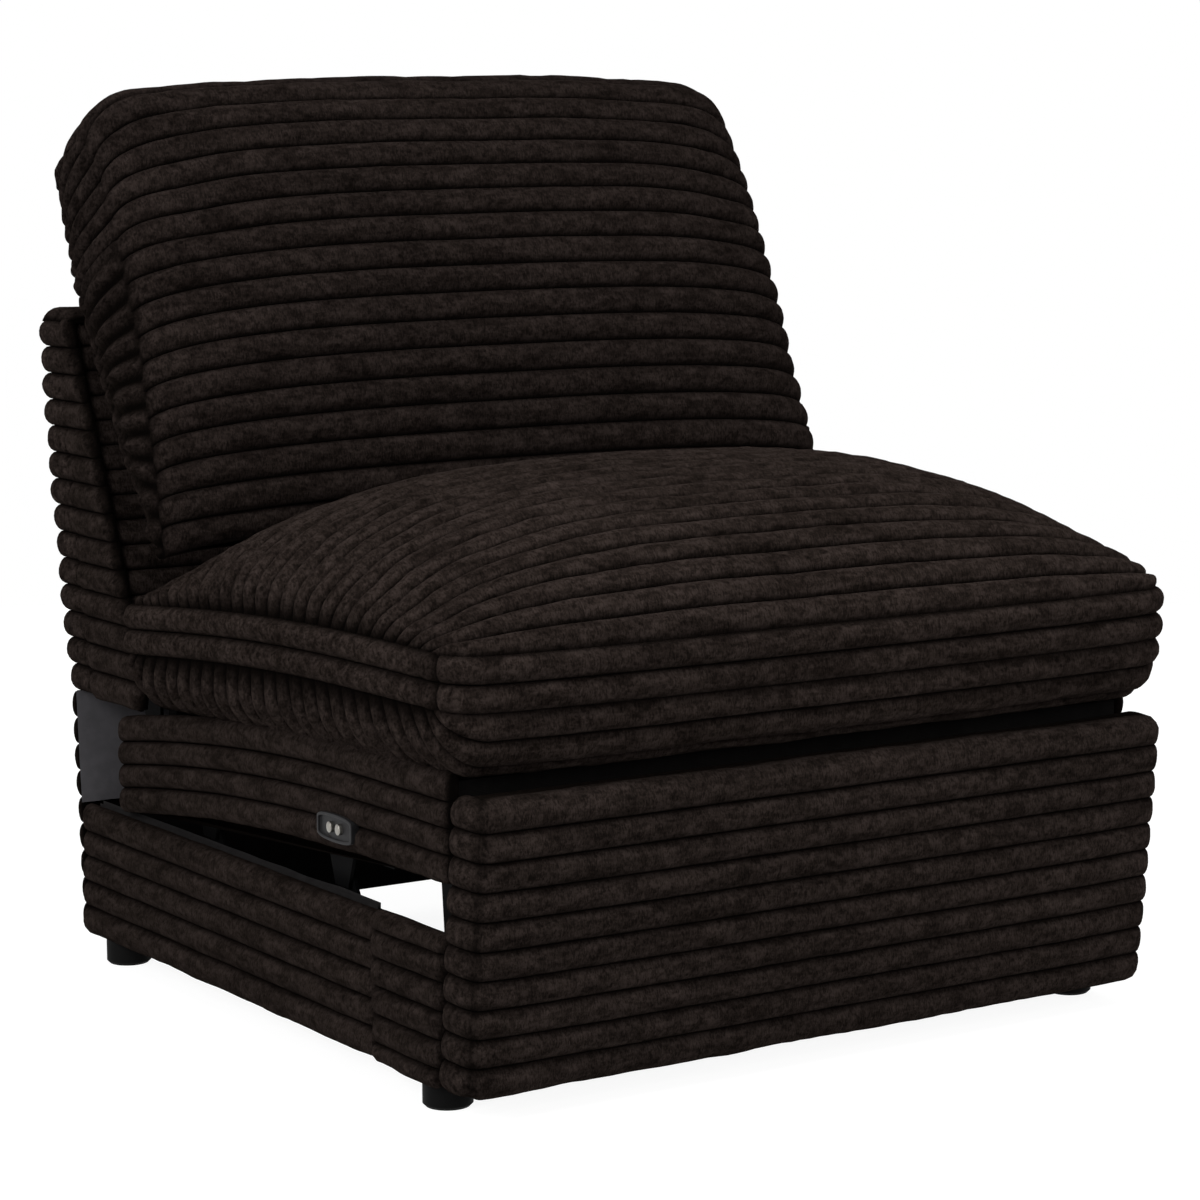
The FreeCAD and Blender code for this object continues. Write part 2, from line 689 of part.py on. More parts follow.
BOARD_MARGIN = S.wood
board_edges = chain([
    on_panel(S.panel_deep - S.panel_board, BOARD_MARGIN),
    on_panel(S.panel_deep, BOARD_MARGIN),
    on_panel(S.panel_deep, PANEL_FALL - BOARD_MARGIN),
    on_panel(S.panel_deep - S.panel_board, PANEL_FALL - BOARD_MARGIN),
    on_panel(S.panel_deep - S.panel_board, BOARD_MARGIN),
])
board_half = S.panel_half - BOARD_MARGIN
keep("footrest_board", slab(board_edges, -board_half, board_half))


def footrest_section(crown, trim):
    """Closed side-view outline of the padded cover: channels on a crowned face, round edges."""
    deep = S.panel_deep
    top = on_panel(trim - crown * 0.4, trim)
    low = on_panel(trim - crown * 0.4, PANEL_FALL - trim)
    face = arc(top, on_panel(trim * 0.4 - crown, PANEL_FALL / 2), low)
    count = rib_count(S.panel_tall - 2 * trim)
    front = folds(spaced(face, count), S.rib_swell, Vector(0, -1, 0))
    top_rear = on_panel(deep, 0)
    low_rear = on_panel(deep, PANEL_FALL)
    edge = deep * 0.35
    upper = folds([top_rear, on_panel(edge, 0), top], S.rib_swell, Vector(0, 0, 1))
    lower = folds([low, on_panel(edge, PANEL_FALL)], S.rib_swell, Vector(0, 0, -1))
    rear = chain([on_panel(edge, PANEL_FALL), low_rear, top_rear])
    return upper + front + lower + rear


def footrest_cover():
    """Lofted between its rounded ends and its crowned middle, less the recess for the board."""
    half = S.panel_half
    trim = S.rib_pitch * 0.35
    stations = [(-half, 0.0), (-half * 0.93, 0.75), (0.0, 1.0), (half * 0.93, 0.75), (half, 0.0)]
    wires = []
    for x, share in stations:
        wire = Part.Wire(footrest_section(S.panel_crown * share + S.rib_swell * (share - 1), trim))
        wire.translate(X_AXIS * x)
        wires.append(wire)
    solid = Part.makeLoft(wires, True, True)
    grow = S.seat_touch
    recess = chain([
        on_panel(S.panel_deep - S.panel_board - grow, BOARD_MARGIN - grow),
        on_panel(2 * S.panel_deep, BOARD_MARGIN - grow),
        on_panel(2 * S.panel_deep, PANEL_FALL - BOARD_MARGIN + grow),
        on_panel(S.panel_deep - S.panel_board - grow, PANEL_FALL - BOARD_MARGIN + grow),
        on_panel(S.panel_deep - S.panel_board - grow, BOARD_MARGIN - grow),
    ])
    return solid.cut(slab(recess, -board_half - grow, board_half + grow))


keep("footrest_cover", footrest_cover())

# Seat box: bowed side rails with padding, a front board, a rear rail and webbing

SEAT_RUN = S.seat_rear_back - S.seat_level_back
BOW_RADIUS = (SEAT_RUN ** 2 + S.seat_drop ** 2) / (2 * S.seat_drop)


def bowed(face):
    """A section in the plane y = 0 run level from the seat's front, then down the rails' bow."""
    wires = []
    steps = 4
    places = [S.seat_front_back] + [S.seat_level_back + SEAT_RUN * k / steps for k in range(steps + 1)]
    for back in places:
        wire = face.OuterWire.copy()
        wire.translate(Vector(0, back + S.front_y, -bow_drop(back)))
        wires.append(wire)
    return Part.makeLoft(wires, True, True)


def bow_drop(back):
    """How far the bowed rails have dropped at a distance back."""
    run = max(0.0, back - S.seat_level_back)
    return BOW_RADIUS - math.sqrt(BOW_RADIUS ** 2 - run ** 2)


def rail_section():
    inner = S.plate_face
    outer = S.body_half - S.pad
    low = S.seat_rail_low + S.pad
    high = S.seat_rail_low + S.seat_rail_tall - S.pad / 2
    corners = [Vector(inner, 0, low), Vector(outer, 0, low), Vector(outer, 0, high), Vector(inner, 0, high)]
    return Part.Face(outline(chain(corners + corners[:1])))


seat_high = S.seat_rail_low + S.seat_rail_tall
for label, section in (
    ("seat_rail", rail_section()),
    ("seat_cover", ribbed_side(S.seat_rail_low, seat_high, 0.0)),
):
    right_shape = bowed(section)
    keep(label + "_right", right_shape)
    keep(label + "_left", mirrored(right_shape))

DECK_TOP = seat_high - S.pad / 2
deck = box(
    "seat_front_board",
    ("2 * sizes.plate_face", "sizes.deck_depth", "sizes.deck_board"),
    ("-sizes.plate_face", "sizes.front_y + sizes.seat_front_back", "%f - sizes.deck_board" % DECK_TOP),
)
keep_object("seat_front_board", deck)


REAR_RAIL_BACK = S.hinge_back - 3 * S.wood
DECK_REAR = DECK_TOP - S.deck_fall
DECK_END = S.seat_front_back + S.deck_depth
seat_rear = box(
    "seat_rear_rail",
    ("2 * (%f)" % layer(0), "sizes.wood", "3 * sizes.wood"),
    ("-(%f)" % layer(0), "sizes.front_y + %f" % REAR_RAIL_BACK, "%f - 3 * sizes.wood" % DECK_REAR),
)
keep_object("seat_rear_rail", seat_rear)


def webbing():
    """Straps laid on the front board, then down to the rear rail's top."""
    first = at(DECK_END - S.deck_depth / 2, DECK_TOP)
    edge = at(DECK_END, DECK_TOP)
    last = at(REAR_RAIL_BACK + S.wood, DECK_REAR)
    up = Vector(0, 0, S.web_thick)
    strap = chain([first, edge, last, last + up, edge + up, first + up, first])
    solids = []
    count = 5
    step = 2 * S.plate_face / (count + 1)
    for k in range(count):
        centre = -S.plate_face + step * (k + 1)
        solids.append(slab(strap, centre - S.web_wide / 2, centre + S.web_wide / 2))
    return Part.makeCompound(solids)


keep("seat_webbing", webbing())

# Cross tubes between the seat plates

TUBE_FLOOR = S2.z + 3 * S.tube_radius
tube_points = [
    at(S.track_front_back + S.tube_radius, TUBE_FLOOR),
    at(S.track_rear_back + S.tube_radius, TUBE_FLOOR),
]
tube_length = "2 * (%f)" % layer(0)
tubes = []
for number, place in enumerate(tube_points, start=1):
    tube = doc.addObject("Part::Cut", "cross_tube_%d" % number)
    for role, half in (("Base", "sizes.tube_radius"), ("Tool", "(sizes.tube_radius - sizes.tube_wall)")):
        lengths = (tube_length, "2 * " + half, "2 * " + half)
        corner = ("-(%s) / 2" % tube_length, "%f - %s" % (place.y, half), "%f - %s" % (place.z, half))
        setattr(tube, role, box("cross_tube_%s_%d" % (role, number), lengths, corner))
    tubes.append(tube)
keep_object("cross_tubes", group("cross_tube_group", tubes))

# Cushions: lofted between their side bands and their crowned middles

def lofted(section, half, stations):
    """A soft solid through side-view sections at shares of its half width, alike on both sides."""
    wires = []
    for share in [-place for place, fullness in stations] + [place for place, fullness in stations[-2::-1]]:
        fullness = dict(stations)[abs(share)]
        wire = Part.Wire(section(fullness))
        wire.translate(X_AXIS * (half * share))
        wires.append(wire)
    return Part.makeLoft(wires, True, True)


def mixed(first, last, share):
    return first + (last - first) * share


def on_webbing(point):
    """Height just above the line of the webbing, under a point."""
    back = point.y - S.front_y
    share = (back - DECK_END) / (REAR_RAIL_BACK + S.wood - DECK_END)
    return DECK_TOP + S.web_thick + S.seat_touch - S.deck_fall * share


def cushion_section(fullness):
    """Channels over the crown, two round the band in front and behind, and a plain belly."""
    band = S.cushion_band
    half = band / 2
    front = at(S.cushion_front_back - S.cushion_nose * fullness, S.cushion_level)
    rear = at(S.cushion_rear_back, S.cushion_level - S.cushion_droop)
    up = Vector(0, 0, half)
    count = rib_count(S.cushion_rear_back)
    top = S.cushion_top - S.rib_swell
    crown = domed(front + up, rear + up, (top, top), fullness, count, (S.dome_power, S.dome_rear_power))
    full = fullness ** S.belly_fill
    rest = (on_webbing(rear), on_webbing(front))
    belly = domed(rear - up, front - up, rest, full, count // 2, (S.belly_power, S.belly_power))
    edges = folds(crown, S.rib_swell, Vector(0, 0, 1))
    edges += folds([rear + up, rear, rear - up], S.cushion_swell, Vector(0, 1, 0))
    edges += chain(belly)
    edges += folds([front - up, front, front + up], S.cushion_swell, Vector(0, -1, 0))
    return edges


def domed(first, last, levels, fullness, count, powers):
    """Points from edge to edge over a crown that nears a line between two levels; a power for each half."""
    points = []
    for k in range(count + 1):
        turn = math.pi * k / count
        share = (1 - math.cos(turn)) / 2 * S.dome_ease + k / count * (1 - S.dome_ease)
        point = mixed(first, last, share)
        lift = math.sin(turn) ** powers[2 * k > count] if 0 < k < count else 0.0
        level = levels[0] + (levels[1] - levels[0]) * share
        points.append(point + Vector(0, 0, (level - point.z) * fullness * lift))
    return points


cushion = lofted(
    cushion_section,
    S.cushion_half,
    [(1.0, 0.0), (0.97, 0.3), (0.86, 0.62), (0.55, 0.92), (0.0, 1.0)],
)
keep("seat_cushion", cushion)

RAKE = math.tan(math.radians(S.back_rake))


def back_face(floor):
    """A point on the padded front of the back frame."""
    return at(S.back_low_back + (floor - S.back_low) * RAKE, floor)


def pillow_section(fullness):
    """Channels up the bulging face and over the top; the rear leans on the back frame."""
    tip = at(S.pillow_tip_back, S.pillow_tip_floor + S.pillow_tip_rise * fullness)
    tip_end = at(S.pillow_tip_back, S.pillow_tip_floor)
    rise = S.pillow_rise + S.pillow_arch * fullness
    top = tip_end + Vector(0, S.pillow_run, rise)
    middle = (tip + top) * 0.5
    normal = Vector(0, -(top - tip).z, (top - tip).y).normalize()
    face = arc(tip, middle + normal * (S.pillow_bulge + S.pillow_crown * fullness), top)
    count = rib_count(S.pillow_rise + S.rib_pitch)
    edges = folds(spaced(face, count), S.rib_swell, Vector(0, -1, 1))
    cap = top + Vector(0, S.pillow_cap, -S.pillow_cap * 0.8)
    crest = mixed(top, cap, 0.5) + Vector(0, 1, 1) * (S.pillow_cap / 6)
    edges += folds([top, crest, cap], S.rib_swell, Vector(0, 1, 1))
    touch = Vector(0, S.seat_touch / math.cos(math.radians(S.back_rake)), 0)
    high_end = top + Vector(0, S.pillow_cap * 0.35, -S.pillow_rise * 0.37)
    low_end = tip_end + Vector(0, S.pillow_run * 0.66, S.pillow_rise * 0.36)
    high = mixed(high_end, back_face(S.back_top) - touch, fullness)
    low = mixed(low_end, back_face(S.pillow_tip_floor + S.pillow_rise * 0.25) - touch, fullness)
    swell = Vector(0, S.pillow_cap * 0.1, 0)
    hollow = Vector(0, 1, -1) * (S.rib_pitch * fullness)
    edges += chain([cap, (cap + high) * 0.5 + swell, high, low, (low + tip) * 0.5 + hollow, tip])
    return edges


pillow = lofted(
    pillow_section,
    S.pillow_half,
    [(1.0, 0.0), (0.97, 0.25), (0.8, 0.64), (0.5, 0.92), (0.0, 1.0)],
)
keep("back_cushion", pillow)

# Back: a wooden frame with raked face, padded and channelled outside, on two steel brackets

REAR_CURVE = Part.Arc(
    at(S.rear_low_back, S.rear_low),
    at((S.rear_low_back + S.rear_top_back) / 2 + S.rear_bow, (S.rear_low + S.back_top) / 2),
    at(S.rear_top_back, S.back_top),
).toShape().Curve


def back_rear(floor):
    """A point on the bowed rear of the back."""
    centre = REAR_CURVE.Center
    reach = math.sqrt(REAR_CURVE.Radius ** 2 - (floor - centre.z) ** 2)
    return Vector(0, centre.y + reach, floor)


def back_side_section():
    """Side-view outline of the back between its front and rear padding, with the wing below."""
    front = Vector(0, S.back_front_pad, 0)
    rear = Vector(0, S.back_rear_pad, 0)
    top = S.back_top
    wing_front = at(S.hinge_back - 2.5 * S.hinge_end, S.wing_low)
    wing_mid = at(S.hinge_back + 3 * S.hinge_end, S.wing_low)
    wing_end = back_rear(S.rear_low) - rear
    middle = (S.rear_low + top) / 2
    return [
        line(wing_mid, wing_front),
        line(wing_front, back_face(S.back_low)),
        line(back_face(S.back_low), back_face(top)),
        line(back_face(top), back_rear(top) - rear),
        arc(back_rear(top) - rear, back_rear(middle) - rear, wing_end),
        arc(wing_end, (wing_end + wing_mid) * 0.5 + Vector(0, 0, S.soft_gap), wing_mid),
    ]


def back_side_cover():
    """The padded side: level channels, cut to the outline of the back."""
    count = rib_count(S.back_top - S.wing_low)
    section = ribbed_side(S.back_top - count * S.rib_pitch, S.back_top, 0.0)
    block = along_chair(section, S.hinge_back - 4 * S.hinge_end, S.rear_top_back)
    keep_in = slab(back_side_section(), 0.0, S.body_half + 2 * S.rib_swell)
    return block.common(keep_in)


def back_rear_cover():
    """The padded rear: level channels from side to side over the full width."""
    rear = Vector(0, S.back_rear_pad - S.rib_swell, 0)
    skin = Vector(0, S.rib_swell, 0)
    low = back_rear(S.rear_low)
    high = back_rear(S.back_top)
    middle = back_rear((S.rear_low + S.back_top) / 2)
    seams = spaced(arc(low - skin, middle - skin, high - skin), rib_count(S.back_top - S.rear_low))
    inner = [
        line(high - skin, high - skin - rear),
        arc(high - skin - rear, middle - skin - rear, low - skin - rear),
        line(low - skin - rear, low - skin),
    ]
    return slab(ribs(seams, S.rib_swell, Vector(0, 1, 0)) + inner, -SIDE_HALF, SIDE_HALF)


SIDE_HALF = S.body_half + S.rib_swell


def back_front_cover():
    """The padded face between the two sides, with level channels."""
    low = back_face(S.back_low + S.pad)
    high = back_face(S.back_top)
    depth = Vector(0, S.back_front_pad, 0)
    skin = Vector(0, S.rib_swell / math.cos(math.radians(S.back_rake)), 0)
    seams = spaced(line(low + skin, high + skin), rib_count((high - low).Length))
    edges = ribs(seams, S.rib_swell, Vector(0, -1, 0))
    edges += chain([high + skin, high + depth, low + depth, low + skin])
    return slab(edges, -(S.body_half - S.pad), S.body_half - S.pad)


def back_cap():
    """The padded top: two level channels over the frame and the edges of its other covers."""
    floor = S.back_top + S.seat_touch
    start = Vector(0, back_face(S.back_top).y + S.cap_start, floor)
    end = Vector(0, back_rear(S.back_top).y, floor)
    skin = Vector(0, 0, S.cap_pad)
    edges = ribs(spaced(line(start + skin, end + skin), 2), S.rib_swell, Vector(0, 0, 1))
    edges += chain([end + skin, end, start, start + skin])
    return slab(edges, -SIDE_HALF, SIDE_HALF)


side_right = back_side_cover()
keep("back_side_cover_right", side_right)
keep("back_side_cover_left", mirrored(side_right))
keep("back_rear_cover", back_rear_cover())
keep("back_front_cover", back_front_cover())
keep("back_cap", back_cap())

WOOD_LOW = S.back_low + S.pad
BRACKET_OUTER = layer(1) + S.steel


def back_board(low, high):
    """Outline of a board of the back frame between two heights, from face padding to rear padding."""
    front = Vector(0, S.back_front_pad, 0)
    rear = Vector(0, -S.back_rear_pad, 0)
    return polygon([
        back_face(low) + front,
        back_rear(low) + rear,
        back_rear((low + high) / 2) + rear,
        back_rear(high) + rear,
        back_face(high) + front,
    ])


def board_across(name, low, high, half):
    """A deep rail across the back, from -half to half."""
    return pressed_plate(name, back_board(low, high), [], -half, "2 * (%f)" % half)


back_side_board = pressed_plate(
    "back_side_board",
    back_board(WOOD_LOW, S.back_top - S.soft_gap),
    [],
    BRACKET_OUTER,
    "sizes.body_half - sizes.pad - %f" % BRACKET_OUTER,
)
both_sides("back_side_board", back_side_board)
BOARD_TOP = S.back_top - S.soft_gap
top_rail = board_across("back_top_board", BOARD_TOP - S.wood, BOARD_TOP, BRACKET_OUTER)
low_rail = board_across("back_low_board", WOOD_LOW, WOOD_LOW + S.wood, layer(1))
keep_object("back_rails", group("back_rail_group", [top_rail, low_rail]))


def back_bracket():
    """Steel bracket: hinge hole's pin, a slotted arm below for the rod and an arm into the frame."""
    end = S.hinge_end
    low = ROD_EYE
    reach = S.tongs_end + SLOT_REACH
    frame_low = WOOD_LOW + 3 * S.wood
    frame_high = WOOD_LOW + 8 * S.wood
    edges = polygon([
        HINGE + Vector(0, -end, 0),
        low + Vector(0, -S.link_end, 0),
        low + Vector(0, -S.tongs_end, -reach),
        low + Vector(0, S.tongs_end, -reach),
        low + Vector(0, S.link_end, 0),
        HINGE + Vector(0, end, 0),
        Vector(0, back_face(frame_low).y + 5 * end, frame_low),
        Vector(0, back_face(frame_high).y + 4 * end, frame_high),
        Vector(0, back_face(frame_high).y + S.back_front_pad + S.wood, frame_high),
        Vector(0, back_face(WOOD_LOW).y + S.back_front_pad + S.wood, WOOD_LOW),
    ])
    body = pressed_plate("back_bracket", edges, [], layer(1))
    slot_middle = ROD_EYE - Vector(0, S.slot_play, 0)
    slot_end = Vector(0, 0, S.layer_gap)
    slot_half = S.tongs_pin + S.slot_play + S.run_fit
    cut_slot(
        body,
        "back_bracket_slot",
        slot_middle + slot_end + Vector(0, 0, SLOT_REACH),
        slot_middle - slot_end,
        slot_half,
    )
    stud(body, "back_bracket_pin", HINGE, "link_pin", 1)
    return body


pair("back_brackets", back_bracket())

# Rear flap: hangs from the back and is tacked to the base, lined on the inside

FLAP_LOW = at(S.flap_low_back, S.foot_height)
FLAP_HIGH = back_rear(S.rear_low - S.seat_touch)


def rear_flap():
    skin = Vector(0, S.rib_swell, 0)
    seams = spaced(line(FLAP_LOW - skin, FLAP_HIGH - skin), rib_count(FLAP_HIGH.z - FLAP_LOW.z))
    depth = Vector(0, S.flap_thick - S.rib_swell, 0)
    edges = ribs(seams, S.rib_swell, Vector(0, 1, 0))
    edges += chain([FLAP_HIGH - skin, FLAP_HIGH - skin - depth, FLAP_LOW - skin - depth, FLAP_LOW - skin])
    return slab(edges, -SIDE_HALF, SIDE_HALF)


def flap_lining():
    """Plain cloth inside the flap, above the base's rear rail."""
    start = BASE_TOP + S.soft_gap
    share = (start - FLAP_LOW.z) / (FLAP_HIGH.z - FLAP_LOW.z)
    front = Vector(0, -S.flap_thick, 0)
    low = mixed(FLAP_LOW, FLAP_HIGH, share) + front
    high = FLAP_HIGH + front
    thick = Vector(0, -S.lining, 0)
    half = SIDE_HALF - S.rib_swell
    return slab(chain([low, high, high + thick, low + thick, low]), -half, half)


keep("rear_flap", rear_flap())
keep("flap_lining", flap_lining())

# Switch: a plate with two push buttons on the seat rail at the sitter's right hand

def switch_plate():
    """A plate with bowed edges and a rounded rim, bored for the two buttons."""
    body = doc.addObject("PartDesign::Body", "switch_plate")
    sketch = new_sketch(body, "switch_plate_outline", "YZ_Plane")
    middle = at(S.switch_back, S.switch_floor)
    long = S.switch_long / 2
    tall = S.switch_tall / 2
    bow = tall / 3
    corners = [(-1, -1), (1, -1), (1, 1), (-1, 1)]
    points = [
        flat(middle) + Vector(a * long, b * (tall - bow), 0) for a, b in corners
    ]
    for first, last, bulge in ((points[0], points[1], -bow), (points[2], points[3], bow)):
        sketch.addGeometry(Part.Arc(first, (first + last) * 0.5 + Vector(0, bulge, 0), last), False)
    for first, last in ((points[1], points[2]), (points[3], points[0])):
        sketch.addGeometry(Part.LineSegment(first, last), False)
    for place in button_places():
        round_cell(sketch, place, S.button_radius + S.button_gap, "sizes.button_radius + sizes.button_gap")
    pad = body.newObject("PartDesign::Pad", "switch_plate_pad")
    pad.Profile = sketch
    pad.setExpression("Length", "sizes.switch_thick")
    body.setExpression("Placement.Base.x", "-(sizes.body_half + sizes.rib_swell + sizes.switch_thick)")
    return body


def button_places():
    middle = at(S.switch_back, S.switch_floor)
    return [middle + Vector(0, side * S.button_space / 2, 0) for side in (-1, 1)]


keep_object("switch_plate", switch_plate())
for label, place in zip(("button_open", "button_close"), button_places()):
    button = doc.addObject("Part::Cylinder", label)
    button.setExpression("Radius", "sizes.button_radius")
    length = "sizes.switch_thick + sizes.button_proud - sizes.button_travel - sizes.button_gap"
    button.setExpression("Height", length)
    button.Placement = Placement(place, Rotation(Vector(0, 1, 0), 90))
    button.setExpression(
        "Placement.Base.x", "-(sizes.body_half + sizes.rib_swell + sizes.switch_thick + sizes.button_proud)"
    )
    keep_object(label, button)

# Drive: a motor and gearbox that turn a lead screw inside a track, and the block that it moves

TRACK_FLOOR = TUBE_FLOOR - S.tube_radius - S.motor_radius - S.seat_touch
gearbox = box(
    "gearbox_block",
    ("2 * sizes.motor_radius", "2 * sizes.motor_radius", "2 * sizes.motor_radius"),
    ("-sizes.motor_radius", "sizes.front_y + sizes.track_rear_back", "%f - sizes.motor_radius" % TRACK_FLOOR),
)
keep_object("gearbox", gearbox)

motor = doc.addObject("Part::Cylinder", "motor_can")
motor.setExpression("Radius", "sizes.motor_radius * 0.9")
motor.setExpression("Height", "sizes.motor_long")
motor.Placement = Placement(at(0, 0), Rotation(Vector(0, 1, 0), 90))
motor.setExpression("Placement.Base.x", "sizes.motor_radius")
motor.setExpression("Placement.Base.y", "sizes.front_y + sizes.track_rear_back + sizes.motor_radius")
motor.setExpression("Placement.Base.z", "%f" % TRACK_FLOOR)
keep_object("motor", motor)


def track():
    """A steel channel, open at the top."""
    half = S.track_radius
    wall = S.tube_wall
    low = TRACK_FLOOR - half
    high = TRACK_FLOOR + half
    section = [
        Vector(-half, 0, low), Vector(half, 0, low), Vector(half, 0, high), Vector(half - wall, 0, high),
        Vector(half - wall, 0, low + wall), Vector(wall - half, 0, low + wall), Vector(wall - half, 0, high),
        Vector(-half, 0, high), Vector(-half, 0, low),
    ]
    return along_chair(Part.Face(outline(chain(section))), S.track_front_back, S.track_rear_back)


keep("actuator_track", track())
hanger_low = TRACK_FLOOR + S.track_radius
hanger_tall = TUBE_FLOOR - S.tube_radius - hanger_low
hanger = box(
    "track_hanger_block",
    ("2 * sizes.track_radius", "2 * sizes.tube_radius", "%f" % hanger_tall),
    ("-sizes.track_radius", "sizes.front_y + sizes.track_front_back", "%f" % hanger_low),
)
keep_object("track_hanger", hanger)
screw = doc.addObject("Part::Cylinder", "screw_bar")
screw.setExpression("Radius", "sizes.screw_radius")
screw.setExpression("Height", "sizes.track_rear_back - sizes.track_front_back")
screw.Placement = Placement(at(0, TRACK_FLOOR), Rotation(X_AXIS, -90))
screw.setExpression("Placement.Base.y", "sizes.front_y + sizes.track_front_back")
screw.setExpression("Placement.Base.z", "%f" % TRACK_FLOOR)
keep_object("lead_screw", screw)


def drive_block():
    """A nut inside the track joined to a saddle over its open top."""
    half = S.track_radius
    gap = S.seat_touch
    inner = half - S.tube_wall - gap
    start = (S.track_front_back + S.track_rear_back) / 2
    long = 3 * half
    high = TRACK_FLOOR + half
    nut_tall = high + gap - TRACK_FLOOR + inner
    nut = Part.makeBox(2 * inner, long, nut_tall, at(start, TRACK_FLOOR - inner, -inner))
    saddle = Part.makeBox(2 * half, long, half, at(start, high + gap, -half))
    bore_start = at(start - long / 2, TRACK_FLOOR)
    bore = Part.makeCylinder(S.screw_radius + S.run_fit, 2 * long, bore_start, Vector(0, 1, 0))
    eye_start = BLOCK_EYE - X_AXIS * (2 * half)
    eye = Part.makeCylinder(S.tongs_pin + S.run_fit, 4 * half, eye_start, X_AXIS)
    return nut.fuse(saddle).cut(bore).cut(eye).removeSplitter()


BLOCK_EYE = at(
    (S.track_front_back + S.track_rear_back) / 2 + 1.5 * S.track_radius,
    TRACK_FLOOR + S.track_radius * 1.5 + S.seat_touch,
)
keep("drive_block", drive_block())

# Push arms: a pair on the drive block whose forks hold the torque tube and swing the footrest

def push_arm():
    """A flat arm beside the track, with an upright slot for the tube's rise and fall."""
    slot_half = S.tube_radius + S.fork_play
    side = slot_half + S.fork_wall
    tail = BLOCK_EYE + Vector(0, S.link_end, 0)
    bar_top = BLOCK_EYE.z + S.fork_half
    bar_low = BLOCK_EYE.z - S.fork_half
    low = ARM.z - ARM_DIP
    edges = polygon([
        Vector(0, tail.y, bar_low),
        Vector(0, tail.y, bar_top),
        Vector(0, ARM.y + 2.5 * side, bar_top),
        Vector(0, ARM.y + side, low),
        Vector(0, ARM.y + side, ARM.z + side / 2),
        Vector(0, ARM.y + side / 2, ARM.z + side),
        Vector(0, ARM.y - side / 2, ARM.z + side),
        Vector(0, ARM.y - side, ARM.z + side / 2),
        Vector(0, ARM.y - side, low - side / 2),
        Vector(0, ARM.y - side / 2, low - side),
        Vector(0, ARM.y + side, bar_low),
    ])
    body = pressed_plate("push_arm", edges, [], S.track_radius + S.layer_gap)
    play = Vector(0, 0, S.seat_touch)
    cut_slot(body, "push_arm_slot", ARM + play, ARM - Vector(0, 0, ARM_DIP) - play, slot_half)
    sketch = new_sketch(body, "push_arm_pin_circle", "YZ_Plane")
    round_cell(sketch, BLOCK_EYE, S.tongs_pin, "sizes.tongs_pin")
    pin = body.newObject("PartDesign::Pad", "push_arm_pin")
    pin.Profile = sketch
    pin.setExpression("Length", "sizes.track_radius")
    pin.Reversed = True
    return body


pair("push_arms", push_arm())

# Power inlet: the socket for a lead, on the rear of the gearbox

inlet = doc.addObject("Part::Cut", "power_inlet_socket")
inlet_start = "sizes.front_y + sizes.track_rear_back + 2 * sizes.motor_radius"
for role, half in (("Base", "sizes.inlet_half"), ("Tool", "sizes.inlet_half / 2")):
    lengths = ("2 * " + half, "sizes.inlet_long", "2 * " + half)
    corner = ("-" + half, inlet_start, "%f - %s" % (TRACK_FLOOR, half))
    setattr(inlet, role, box("power_inlet_" + role, lengths, corner))
keep_object("power_inlet", inlet)

# Build the document, check every object and every sub-part, and write one file for each sub-part

doc.recompute()
for item in doc.Objects:
    if "Invalid" in item.State or "Error" in item.State:
        raise RuntimeError("%s failed: %s" % (item.Name, item.State))
for node in NODES:
    if node.Shape.isNull() or not node.Shape.isValid() or not node.Shape.Solids:
        raise RuntimeError("%s has no valid solid" % node.Label)

os.makedirs("parts", exist_ok=True)
for node in NODES:
    node.Shape.exportStep("parts/%s.step" % node.Label)
print("%d sub-parts written" % len(NODES))
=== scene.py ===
"""An armless recliner in channelled dark plush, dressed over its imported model.

Lengths are in metres. A place along the chair is given as the distance behind the footrest's face.
"""
import math
import bpy
import numpy as np
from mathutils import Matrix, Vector, noise


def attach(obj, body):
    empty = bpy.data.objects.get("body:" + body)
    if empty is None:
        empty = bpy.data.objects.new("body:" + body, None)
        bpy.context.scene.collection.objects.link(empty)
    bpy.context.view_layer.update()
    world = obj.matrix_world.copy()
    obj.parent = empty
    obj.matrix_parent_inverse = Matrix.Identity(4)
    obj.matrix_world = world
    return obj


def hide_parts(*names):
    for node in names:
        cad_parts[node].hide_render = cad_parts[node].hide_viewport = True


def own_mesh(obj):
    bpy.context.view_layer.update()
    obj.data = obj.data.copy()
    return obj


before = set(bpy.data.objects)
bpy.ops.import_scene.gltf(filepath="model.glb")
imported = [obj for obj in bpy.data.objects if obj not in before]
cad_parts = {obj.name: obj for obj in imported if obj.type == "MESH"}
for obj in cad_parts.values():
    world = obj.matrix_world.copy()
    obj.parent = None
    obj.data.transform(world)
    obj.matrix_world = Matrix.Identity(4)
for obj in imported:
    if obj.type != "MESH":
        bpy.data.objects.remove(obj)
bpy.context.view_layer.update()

# Camera, lamps and floor: the photograph's view from the front left, just above the seat, under
# plain soft boxes. The floor and the room behind show white and the floor keeps a soft shadow.

FACE_Y = -0.493


def look_from(turn, rise, reach, target):
    """Adds the camera at that angle round the target and makes it the scene's."""
    away = Vector((
        -math.sin(turn) * math.cos(rise),
        -math.cos(turn) * math.cos(rise),
        math.sin(rise),
    ))
    bpy.ops.object.camera_add(location=target + away * reach)
    camera = bpy.context.object
    camera.name = "camera"
    camera.rotation_euler = (-away).to_track_quat("-Z", "Y").to_euler()
    bpy.context.scene.camera = camera
    return camera


AIM = Vector((0.0, 0.348 + FACE_Y, 0.3915))
camera = look_from(math.radians(34.32), math.radians(8.82), 3.8677, AIM)
camera.data.lens = 104.2
camera.data.sensor_width = 36.0
camera.data.shift_x = -0.047
camera.data.shift_y = 0.048

